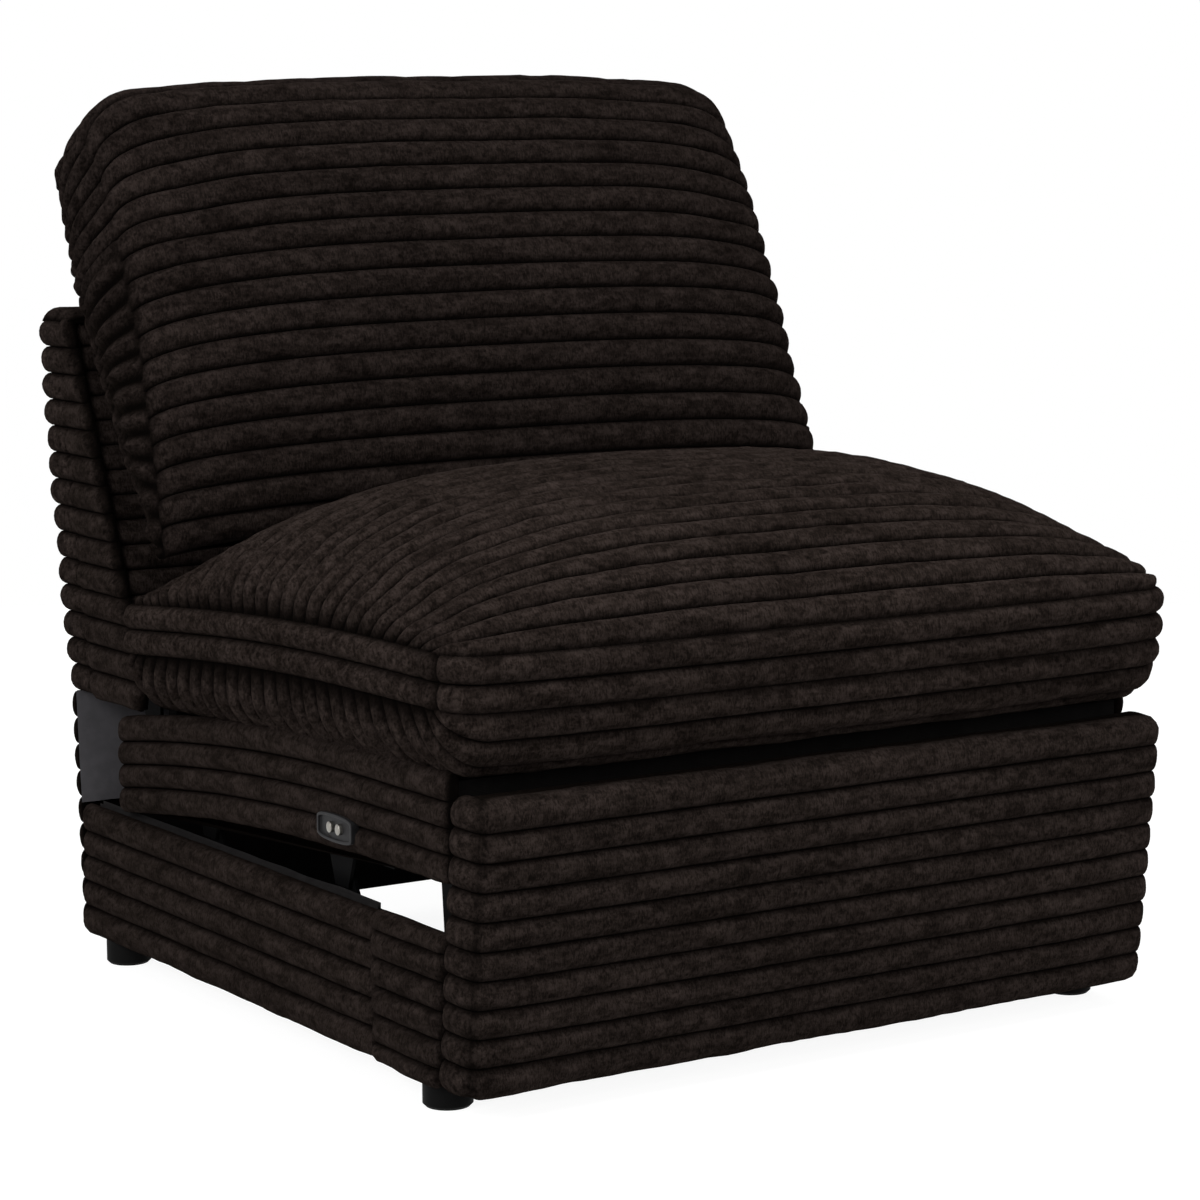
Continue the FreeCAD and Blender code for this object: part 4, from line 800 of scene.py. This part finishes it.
def rounded_edges(piece, width, angle=30.0):
    """Ends the shaping of a hard piece: its sharp edges get a small round and a smooth shade."""
    bpy.ops.mesh.select_all(action="SELECT")
    bpy.ops.mesh.normals_make_consistent(inside=False)
    bpy.ops.object.mode_set(mode="OBJECT")
    soft = piece.modifiers.new("soft_edges", "BEVEL")
    soft.width = width
    soft.segments = 3
    soft.limit_method = "ANGLE"
    soft.angle_limit = math.radians(angle)
    bpy.context.view_layer.objects.active = piece
    bpy.ops.object.modifier_apply(modifier="soft_edges")
    bpy.ops.object.select_all(action="DESELECT")
    piece.select_set(True)
    bpy.ops.object.shade_smooth_by_angle(angle=math.radians(35.0))


def plate_outline(turn):
    """Rounded rectangle whose long edges bow outwards."""
    c, s = math.cos(turn), math.sin(turn)
    reach = (abs(c) ** 7 + abs(s) ** 7) ** (-1 / 7)
    long_way, up = c * reach, s * reach
    bow = 1.0 - 0.16 * long_way ** 2
    return (PLATE_FACE + 0.004, PLATE_U + FACE_Y + 0.0365 * long_way, PLATE_Z + 0.0148 * up * bow)


plate = disc("switch_plate_shell", 72, plate_outline)
draw_out(-0.0100)
bpy.ops.mesh.inset(thickness=0.0034)
draw_out(0.0026)
bpy.ops.mesh.inset(thickness=0.0008)
rounded_edges(plate, 0.0007)
dress(plate, plate_skin, ["switch_plate"], "seat")

for label, body, u in (("open", "opener", 0.268), ("close", "closer", 0.286)):
    def cap_outline(turn, u=u):
        across, up = 0.0052 * math.cos(turn), 0.0058 * math.sin(turn)
        return (PLATE_FACE + 0.0015, u + FACE_Y + across, PLATE_Z + up)

    cap = disc("button_cap_" + label, 32, cap_outline)
    draw_out(-0.0085)
    bpy.ops.mesh.inset(thickness=0.0012)
    draw_out(-0.0006)
    rounded_edges(cap, 0.0005, 20.0)
    dress(cap, silver_cap, ["button_" + label], body)

# Footrest: a board in ten channels with a crowned face, a rolled top edge, and a deep band round
# each side whose short channels end in a row of balls. It is bolted to the tongs' brackets.

PANEL_LOW = 0.027
PANEL_TALL = 0.304
PANEL_DEEP = 0.055
PANEL_EDGE = 0.016


def round_box(s, half):
    """Place round a box seen from above, front, right, rear, left: x and share of depth."""
    quarter = int(s)
    f = s - quarter
    across = -half + 2 * half * f
    return [(across, 0.0), (half, f), (-across, 1.0), (-half, 1 - f)][quarter % 4]


def panel_place(s, t):
    inset = corner_loss(PANEL_EDGE, PANEL_EDGE - min(t, 1 - t) * PANEL_TALL)
    z = PANEL_LOW + 0.003 + (PANEL_TALL - 0.004) * t
    x, deep = round_box(s, GROOVE_HALF - inset * 0.5)
    near = inset + 0.006
    far = PANEL_DEEP - inset * 0.6
    crown = 0.008 * (1 - (2 * t - 1) ** 2) * (1 - abs(x / GROOVE_HALF) ** 6) * (1 - deep)
    back = (PANEL_LOW + PANEL_TALL - z) * PANEL_LEAN + near + (far - near) * deep - crown
    return (x, back + FACE_Y, z)


panel_columns = tucked(0.0, 1.0, 0.012, 0.010, 0.874, 0.5)
panel_columns += tucked(1.0, 2.0, 0.006, 0.024, 0.055, 0.5)[1:]
panel_columns += [(2 + f, 0.0) for f in even(0.0, 1.0, 20)[1:]]
panel_columns += tucked(3.0, 4.0, 0.006, 0.024, 0.055, 0.5)[1:-1]
sewn_skin(
    "footrest_plush", panel_place, panel_columns, channels(even(0.0, 1.0, 10)),
    0.0125, plush_across, ["footrest_cover"], "footrest",
)

# Seat cushion: a stuffed crowned case of the same plush, brushed lighter. Its top and belly are
# sewn in channels from side to side that curl down to a band of two channels all round.

SEAT_HALF = 0.457
SEAT_FRONT = 0.030
SEAT_REAR = 0.744
SEAT_ROUND = 0.032
EDGE_FLOOR = 0.445
EDGE_DROOP = 0.031
EDGE_BOW = 0.011
BAND = 0.057
CASE_LEVEL = 0.599
BELLY_LEVEL, BELLY_SLOPE = 0.3565, 0.0387
ROLL = 0.038


def fullness(x):
    """How far the stuffing fills the case at a distance from the middle."""
    return math.sqrt(max(0.0, 1 - min(1.0, abs(x) / SEAT_HALF) ** 3.2))


def corner_back(x):
    """How far a rounded corner draws the case's end in."""
    return corner_loss(SEAT_ROUND, abs(x) - (SEAT_HALF - SEAT_ROUND))


def seat_front(x):
    return SEAT_FRONT - 0.030 * fullness(x) + corner_back(x)


def seat_rear(x):
    return SEAT_REAR - corner_back(x)


def seat_edge(back):
    """Height of the band's middle at a distance back."""
    share = min(1.0, max(0.0, (back - SEAT_FRONT) / (SEAT_REAR - SEAT_FRONT)))
    return EDGE_FLOOR - EDGE_DROOP * share + EDGE_BOW * math.sin(math.pi * share)


def case_point(x, b, top):
    """A point on the crown (top) or the belly of the case, b from front to rear."""
    share = (1 - math.cos(math.pi * b)) / 2 * (0.35 if top else 0.75) + b * (0.65 if top else 0.25)
    front, rear = seat_front(x), seat_rear(x)
    back = front + (rear - front) * share
    sign = 1 if top else -1
    edge = seat_edge(back) + sign * BAND / 2 * 0.86
    if top:
        power = 1.45 if b > 0.5 else 0.66
        lift = max(0.0, math.sin(math.pi * b)) ** power
        return (x, back + FACE_Y, edge + (CASE_LEVEL - edge) * fullness(x) * lift)
    resting = BELLY_LEVEL - BELLY_SLOPE * (back - 0.14)
    lift = rolled(back - front, ROLL) * rolled(rear - back, ROLL) * rolled(SEAT_HALF - abs(x), ROLL)
    return (x, back + FACE_Y, edge + (resting - edge) * lift)


def even_seams(top, count):
    """Shares at which the seams lie the same distance apart over the middle of the case."""
    fine = even(0.0, 1.0, 1200)
    points = [Vector(case_point(0.0, b, top)) for b in fine]
    run = [0.0]
    for first, last in zip(points, points[1:]):
        run.append(run[-1] + (last - first).length)
    return [float(np.interp(run[-1] * k / count, run, fine)) for k in range(count + 1)]


def seat_place(s, t):
    x = SEAT_HALF * math.sin(math.pi / 2 * t)
    if s <= 1:
        return case_point(x, s, True)
    if s >= 2:
        return case_point(x, 3 - s, False)
    return case_point(x, 1.0, s < 1.5)


STUFFING_FRAMES = 14
MOST_SWELL = 0.010


def stuffed(base, columns, rows, pinned):
    """Fills a form by cloth simulation: its seams swell under the stuffing's pressure.

    base holds the form's points, columns and rows the indices that take part, and pinned is true
    for a point where the cushion rests on something. Channels are added to the result later."""
    coarse = base[np.ix_(rows, columns)]
    tall, wide = coarse.shape[:2]
    order = np.arange(tall * (wide + 1), dtype=np.int32)
    bag = closed_grid(np.concatenate([coarse, coarse[:, :1]], axis=1), "order", "INT", order)
    held = bag.vertex_groups.new(name="held")
    for vertex in bag.data.vertices:
        if pinned(vertex.co):
            held.add([vertex.index], 1.0, "REPLACE")
    cloth = bag.modifiers.new("stuffing", "CLOTH")
    cloth.settings.vertex_group_mass = "held"
    cloth.settings.use_pressure = True
    cloth.settings.uniform_pressure_force = 4.0
    cloth.settings.tension_stiffness = 25.0
    cloth.settings.compression_stiffness = 25.0
    cloth.settings.bending_stiffness = 0.6
    cloth.settings.quality = 5
    cloth.settings.effector_weights.gravity = 0.0
    for number in range(1, STUFFING_FRAMES + 1):
        scene.frame_set(number)
    done = bag.evaluated_get(bpy.context.evaluated_depsgraph_get()).to_mesh()
    moved = np.zeros(len(bag.data.vertices) * 3)
    done.vertices.foreach_get("co", moved)
    start = np.zeros_like(moved)
    bag.data.vertices.foreach_get("co", start)
    index = np.zeros(len(bag.data.vertices), dtype=np.int32)
    bag.data.attributes["order"].data.foreach_get("value", index)
    shift = (moved - start).reshape(-1, 3)
    far = np.linalg.norm(shift, axis=1, keepdims=True)
    field = np.zeros((tall * (wide + 1), 3))
    field[index] = shift * np.minimum(1.0, MOST_SWELL / np.maximum(far, 1e-9))
    field = field.reshape(tall, wide + 1, 3)[:, :wide]
    # The swell is evened out with its neighbours, so that it leaves no kinks between seams.
    for _ in range(4):
        around = (np.roll(field, 1, axis=1) + np.roll(field, -1, axis=1)) / 2
        along = field.copy()
        along[1:-1] = (field[2:] + field[:-2]) / 2
        field = field / 2 + (around + along) / 4
    bpy.data.objects.remove(bag)
    scene.frame_set(1)
    result = base.copy()
    loop = np.append(columns, columns[0] + base.shape[1])
    closed = np.concatenate([field, field[:, :1]], axis=1)
    every = np.arange(base.shape[1])
    wrapped = np.where(every < columns[0], every + base.shape[1], every)
    for axis in range(3):
        wide_way = np.array([np.interp(wrapped, loop, closed[r, :, axis]) for r in range(tall)])
        result[:, :, axis] += np.array([
            np.interp(np.arange(base.shape[0]), rows, wide_way[:, c]) for c in range(base.shape[1])
        ]).T
    return result


top_columns = channels(even_seams(True, 27))
belly_columns = [(3 - b, f) for b, f in reversed(channels(even_seams(False, 26), 6))]
seat_columns = top_columns + belly_columns
seat_rows = []
for t in even(-1.0, 1.0, 96):
    from_end = SEAT_HALF * (1 - abs(math.sin(math.pi / 2 * t)))
    seat_rows.append((t, rolled(from_end, 0.010)))
plush_seat = plush_cloth(
    "plush_seat", (0.35, 1.0, 1.0), (0.0080, 0.0058, 0.0050, 1.0), (0.0250, 0.0185, 0.0162, 1.0))
seat_form = np.array([[seat_place(s, t) for s, _ in seat_columns] for t, _ in seat_rows])
seam_columns = [k for k, (s, f) in enumerate(seat_columns) if f < 0.001]
seat_form = stuffed(
    seat_form, seam_columns, list(range(0, len(seat_rows), 3)),
    lambda p: p.z < 0.40 or p.y > 0.12 or abs(p.x) > SEAT_HALF - 0.004,
)
sewn_skin(
    "seat_cushion_plush", seat_place, seat_columns, seat_rows, 0.0125, plush_seat,
    ["seat_cushion"], "seat", form=seat_form, fill=0.7, slot="cushion_plush",
)


def band_line():
    """The cushion's outline from above: left side forward, front, right side back and rear."""
    bend = SEAT_ROUND
    near = [bend * (1 - math.cos(math.pi / 2 * k / 12)) for k in range(1, 12)]
    far = [bend * (1 - math.cos(math.pi / 2 * k / 9)) for k in range(1, 9)]
    front = [-SEAT_HALF + d for d in near] + even(-SEAT_HALF + bend, SEAT_HALF - bend, 72)
    front += [SEAT_HALF - d for d in reversed(near)]
    rear = [SEAT_HALF - d for d in far] + even(SEAT_HALF - bend, -SEAT_HALF + bend, 26)
    rear += [-SEAT_HALF + d for d in reversed(far)]
    points = [(-SEAT_HALF, u) for u in even(SEAT_REAR - bend, SEAT_FRONT + bend, 40)]
    points += [(x, seat_front(x)) for x in front]
    points += [(SEAT_HALF, u) for u in even(SEAT_FRONT + bend, SEAT_REAR - bend, 40)]
    return points + [(x, seat_rear(x)) for x in rear]


BAND_LINE = band_line()
BAND_DEPTH = 0.020
PINCHES = (-0.052, -0.022, 0.040)


def band_place(s, t):
    """t 0..1 up the outside of the band, 1..2 back down inside the case."""
    k = int(round(s)) % len(BAND_LINE)
    x, back = BAND_LINE[k]
    before = BAND_LINE[k - 1]
    after = BAND_LINE[(k + 1) % len(BAND_LINE)]
    run = Vector((after[0] - before[0], after[1] - before[1])).normalized()
    inward = Vector((-run.y, run.x)) * (0.0 if t <= 1 else BAND_DEPTH)
    height = t if t <= 1 else 2 - t
    z = seat_edge(back) + BAND * (height - 0.5) * (1.0 if t <= 1 else 0.7)
    return (x + inward.x, back + inward.y + FACE_Y, z)


def band_pinch(s, t, c, r):
    """Upright seams gather the band into short balls at both front corners."""
    x, back = BAND_LINE[int(round(s)) % len(BAND_LINE)]
    if back > 0.14:
        return r
    turn = math.copysign(1.0, SEAT_HALF - abs(x) - (back - SEAT_FRONT))
    reach = turn * math.hypot(SEAT_HALF - abs(x), back - SEAT_FRONT)
    dip = sum(math.exp(-((reach - at) / 0.0042) ** 2) for at in PINCHES)
    return r * max(0.12, 1 - 0.8 * dip)


band_rows = channels([0.0, 0.5, 1.0], 12) + [(1.02, 0.0), (1.5, 0.0), (1.98, 0.0)]
sewn_skin(
    "seat_band_plush", band_place, [(float(k), 1.0) for k in range(len(BAND_LINE))], band_rows,
    0.0135, plush_seat, [], "seat", ring=True, pattern=band_pinch, fill=0.7, slot="cushion_plush",
)

# Back frame: a raked timber frame hinged on the seat plates. Its sides and face are padded in level
# channels, and the rear cover wraps a hand's width round each side to a seam.

RAKE = math.tan(math.radians(23.2))
RAKE_BACK, RAKE_FLOOR = 0.748, 0.343


def raked(floor):
    """Distance back of the padded face of the frame."""
    above = max(0.0, floor - RAKE_FLOOR)
    below = max(0.0, RAKE_FLOOR - floor)
    return RAKE_BACK + above * RAKE + below * 0.24


REAR_LOW = Vector((0.933, 0.318))
REAR_TOP = Vector((0.998, 0.752))
REAR_BOW = 0.012
WRAP = 0.057
BACK_LOW, BACK_HIGH = 0.317, 0.752


def bowed_rear(floor):
    """Distance back of the bowed rear, without its channels."""
    f = (floor - REAR_LOW.y) / (REAR_TOP.y - REAR_LOW.y)
    return REAR_LOW.x + (REAR_TOP.x - REAR_LOW.x) * f + REAR_BOW * 4 * f * (1 - f) - 0.010


for label, side in SIDES:
    sewn_skin(
        "back_side_plush_" + label,
        pad_round(
            raked, lambda floor: bowed_rear(floor) - WRAP, level(BACK_LOW), level(BACK_HIGH), side,
        ),
        pad_columns(0.15, 0.012, 0.35),
        channels(even(0.0, 1.0, 14)),
        PUFF, plush_along, ["back_side_cover_" + label], "back",
    )

REAR_HALF = GROOVE_HALF - 0.001
REAR_BEND = 0.014


def rear_line(inside):
    """Plan of the wrapped rear cover from seam to seam, as x and depth from the rear."""
    drawn = 0.009 if inside else 0.0
    half = REAR_HALF - drawn
    bend = REAR_BEND - drawn
    depths = (WRAP, WRAP - 0.004, WRAP - 0.012, 0.036, 0.026, REAR_BEND + 0.001)
    points = [(-half, depth) for depth in depths]
    for k in range(6):
        turn = math.pi / 2 * k / 5
        points.append((-half + bend * (1 - math.cos(turn)), drawn + bend * (1 - math.sin(turn))))
    points += [(x, drawn) for x in even(-half + bend, half - bend, 44)[1:-1]]
    return points + [(-x, depth) for x, depth in reversed(points[:12])]


REAR_OUT = rear_line(False)
REAR_IN = rear_line(True)[::-3]


def rear_place(s, t):
    k = int(round(s))
    x, depth = REAR_OUT[k] if k < len(REAR_OUT) else REAR_IN[k - len(REAR_OUT)]
    low, high = BACK_LOW + 0.002, BACK_HIGH - 0.001
    z = low + (high - low) * t
    return (x, bowed_rear(z) - depth + FACE_Y, z)


end_tuck = [0.4, 0.78, 0.96]
rear_shares = end_tuck + [1.0] * (len(REAR_OUT) - 6) + end_tuck[::-1] + [0.0] * len(REAR_IN)
sewn_skin(
    "back_rear_plush", rear_place, list(enumerate(rear_shares)), channels(even(0.0, 1.0, 14)),
    PUFF, plush_across, ["back_rear_cover"], "back",
)


FACE_LOW, FACE_HIGH = 0.358, 0.750
CAP_FRONT, CAP_REAR = 0.921, 0.990
CAP_FLOOR, CAP_ROUND = 0.7490, 0.010


def face_place(s, t):
    z = FACE_LOW + (FACE_HIGH - FACE_LOW) * t
    x, deep = round_box(s, BOARD_HALF)
    return (x, raked(z) + 0.009 + 0.008 * deep + FACE_Y, z)


sewn_skin(
    "back_face_plush", face_place, board_columns(0.03, 0.854, 0.0, 12),
    channels(even(0.0, 1.0, 14)), 0.007, plush_across, ["back_front_cover"], "back",
)


def cap_place(s, t):
    """The padded top of the frame: two channels from side to side, rounded down at both ends."""
    half = REAR_HALF + 0.004
    x, down = round_box(s, half)
    back = CAP_FRONT + (CAP_REAR - CAP_FRONT) * t
    ends = max(0.0, abs(x) - (half - CAP_ROUND)) / CAP_ROUND
    return (x, back + FACE_Y, CAP_FLOOR + 0.004 * (1 - down) * (1 - ends))


sewn_skin(
    "back_top_plush", cap_place, board_columns(0.014, 0.874, 0.3, 12),
    channels([0.0, 0.5, 1.0]), 0.0115, plush_across, ["back_cap"], "back",
)

# Back cushion: a deep pillow, thin at its lower edge, in level channels that run round its ends and
# curl over the top. Low down at each end a gusset is sewn in, its channels half a step lower.

PILLOW_HALF = 0.443
TIP_BACK, TIP_FLOOR = 0.651, 0.503
PILLOW_LEAN, PILLOW_TALL = 0.194, 0.502
CURL = Vector((0.066, -0.044))
CURL_START = 0.88
PILLOW_CORNER = 0.06
PILLOW_SAG = 0.014
PILLOW_FLARE = 0.009
END_BULGE = 0.007
GUSSET_TOP = 0.66


def pillow_full(share):
    return math.sqrt(max(0.0, 1 - min(1.0, abs(share)) ** 2.8))


def pillow_droop(across, t):
    """How far the channels dip towards the rounded upper corners, most at the top."""
    dip = corner_loss(PILLOW_CORNER, abs(across) * PILLOW_HALF - (PILLOW_HALF - PILLOW_CORNER))
    near_top = min(1.0, max(0.0, t - 0.5) / 0.45)
    return dip * near_top * near_top * (3 - 2 * near_top) * 0.6


def pillow_ends(full):
    """Side-view points of the lower tip, the top of the face and the end of the curl behind it."""
    low = Vector((TIP_BACK, TIP_FLOOR + 0.022 * full))
    high = Vector((TIP_BACK + PILLOW_LEAN, TIP_FLOOR + PILLOW_TALL + 0.026 * full))
    return low, high, high + CURL


def pillow_front(share, t):
    """Side-view point of the face at a share of its height; the last part curls over the top."""
    full = pillow_full(share)
    low, high, end = pillow_ends(full)
    normal = Vector((-(high - low).y, (high - low).x)).normalized()
    bulge = 0.018 + 0.033 * full
    if t <= CURL_START:
        f = t / CURL_START
        swell = (4 * f * (1 - f)) ** 0.8
        return low + (high - low) * f + normal * (bulge * swell)
    f = (t - CURL_START) / (1 - CURL_START)
    control = high + Vector((0.034, 0.022))
    return high * (1 - f) ** 2 + control * 2 * f * (1 - f) + end * f ** 2


def pillow_rear(share, t):
    """Side-view point of the rear, which leans on the frame's face, at a share of its height."""
    full = pillow_full(share)
    low, high, third = pillow_ends(full)
    touch = 0.010

    def lean(floor):
        return Vector((RAKE_BACK + (floor - RAKE_FLOOR) * RAKE - touch, floor))

    first = Vector((TIP_BACK + 0.124, TIP_FLOOR + 0.183)).lerp(lean(0.632), full)
    second = (high + Vector((0.020, -0.188))).lerp(lean(0.748), full)
    points = [low, low.lerp(first, 0.5) + Vector((0.020, -0.016)) * full, first, second, third]
    shares = [0.0, 0.14, 0.34, 0.66, 1.0]
    for k in range(4):
        if t <= shares[k + 1] + 1e-9:
            f = (t - shares[k]) / (shares[k + 1] - shares[k])
            before = points[max(0, k - 1)]
            after = points[min(4, k + 2)]
            a, b = points[k], points[k + 1]
            return (
                a * (2 * f ** 3 - 3 * f ** 2 + 1) + b * (3 * f ** 2 - 2 * f ** 3)
                + (b - before) * 0.5 * (f ** 3 - 2 * f ** 2 + f)
                + (after - a) * 0.5 * (f ** 3 - f ** 2)
            )
    return third


def pillow_place(s, t):
    quarter = int(s) % 4
    f = s - int(s)
    if quarter == 0:
        across, deep = math.sin(math.pi * (f - 0.5)), 0.0
    elif quarter == 1:
        across, deep = 1.0, f
    elif quarter == 2:
        across, deep = math.sin(math.pi * (0.5 - f)), 1.0
    else:
        across, deep = -1.0, 1 - f
    point = pillow_front(across, t).lerp(pillow_rear(across, t), deep)
    x = (PILLOW_HALF + PILLOW_FLARE * (1 - 1.6 * t)) * across
    bulge = END_BULGE * math.sin(math.pi * deep) if quarter in (1, 3) else 0.0
    sag = PILLOW_SAG * t * (0.5 - 0.5 * across) ** 1.5 + pillow_droop(across, t)
    return (x + math.copysign(bulge, x), point.x + FACE_Y, point.y - sag)


def end_shares(count):
    """Columns of the face: closer and tucked in at both ends."""
    result = []
    for f in even(0.0, 1.0, count):
        from_end = PILLOW_HALF * (1 - abs(math.sin(math.pi * (f - 0.5))))
        result.append((f, rolled(from_end, 0.012)))
    return result


PILLOW_ROWS = channels(even(0.0, 1.0, 19), 10)
HALF_STEP = {
    t: math.sqrt(max(0.0, 1 - r ** (2 / CHANNEL_ROUND))) ** CHANNEL_ROUND for t, r in PILLOW_ROWS
}


def pillow_pattern(s, t, c, r):
    """Level channels all round; low down the gusset's seams tuck in and its channels step down."""
    sewn = min(1.0, max(0.0, (GUSSET_TOP - t) / 0.10))
    ends = 1 - (1 - c) * (0.1 + 0.5 * sewn)
    if int(s) % 2 == 0:
        return r * ends
    return (r * (1 - sewn) + HALF_STEP[t] * sewn) * ends * min(1.0, min(t, 1 - t) / 0.02)


gusset_columns = [(f, math.sin(math.pi * f) ** 0.35) for f in even(0.0, 1.0, 14)[1:-1]]
pillow_columns = end_shares(84)
pillow_columns += [(1 + f, c) for f, c in gusset_columns]
pillow_columns += [(2 + f, c) for f, c in end_shares(44)]
pillow_columns += [(3 + f, c) for f, c in gusset_columns]
# Painted shade: the back cushion's plush is a darker copy of the same cloth, with shade painted
# into its colours.
plush_back_painted_shade = plush_cloth(
    "plush_back_painted_shade", (0.35, 1.0, 1.0), (0.0058, 0.0042, 0.0037, 1.0), (0.0172, 0.0127, 0.0113, 1.0))
pillow_form = np.array([[pillow_place(s, t) for s, _ in pillow_columns] for t, _ in PILLOW_ROWS])
pillow_form = stuffed(
    pillow_form, list(range(0, len(pillow_columns), 3)), list(range(0, len(PILLOW_ROWS), 5)),
    lambda p: p.z < 0.53 or p.y > 0.20 + (p.z - 0.50) * RAKE,
)
sewn_skin(
    "back_cushion_plush", pillow_place, pillow_columns, PILLOW_ROWS, 0.0120, plush_back_painted_shade,
    ["back_cushion"], "back", form=pillow_form, pattern=pillow_pattern, fill=0.7,
    slot="cushion_plush",
)

# Rear flap: the back's plush hangs down behind the mechanism to the base's lower edge, channelled
# like the rest, with a plain grey lining inside. It crumples when the chair reclines.

FLAP_LOW, FLAP_HIGH = 0.033, 0.3165
FLAP_REAR = 0.914


def flap_back(share):
    """Distance back of the flap's cloth at a share of its height."""
    return FLAP_REAR + 0.018 * share - 0.006


def flap_place(s, t):
    x, deep = round_box(s, GROOVE_HALF)
    return (-x, flap_back(t) - 0.003 * deep + FACE_Y, FLAP_LOW + (FLAP_HIGH - FLAP_LOW) * t)


rear_flap = sewn_skin(
    "rear_flap_plush", flap_place, board_columns(0.012, 0.874, 0.6, 16),
    channels(even(0.0, 1.0, 9)), PUFF, plush_across, ["rear_flap"], "base", fill=0.3,
)
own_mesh(rear_flap)

# Painted light: the lining's grey is painted lighter than the cloth's own, where it lies in the
# flap's shadow.
lining_cloth_painted_light = surface(
    "grey_lining_painted_light", plain_weave,
    {"Light": (0.135, 0.130, 0.139, 1.0), "Dark": (0.070, 0.067, 0.072, 1.0), "Thread": 0.0012},
    0.9, 0.35, 0.0006, Specular_IOR_Level=0.02,
)
LINING_WIDE, LINING_LOW = 0.878, 0.184
bpy.ops.object.select_all(action="DESELECT")
bpy.ops.mesh.primitive_grid_add(x_subdivisions=110, y_subdivisions=24, size=1.0)
lining = bpy.context.object
lining.name = "flap_lining_cloth"
for vertex in lining.data.vertices:
    x = vertex.co.x * LINING_WIDE
    up = vertex.co.y + 0.5
    z = LINING_LOW + (FLAP_HIGH - LINING_LOW) * up
    share = (z - FLAP_LOW) / (FLAP_HIGH - FLAP_LOW)
    slack = noise.noise(Vector((x * 7.0, up * 1.2, 3.0))) * 0.0022
    slack += noise.noise(Vector((x * 22.0, up * 3.0, 8.0))) * 0.0008
    vertex.co = (x, flap_back(share) - 0.0062 + slack + FACE_Y, z)
lining.data.update()
bpy.ops.object.shade_smooth()
dress(lining, lining_cloth_painted_light, ["flap_lining"], "base")
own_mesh(lining)
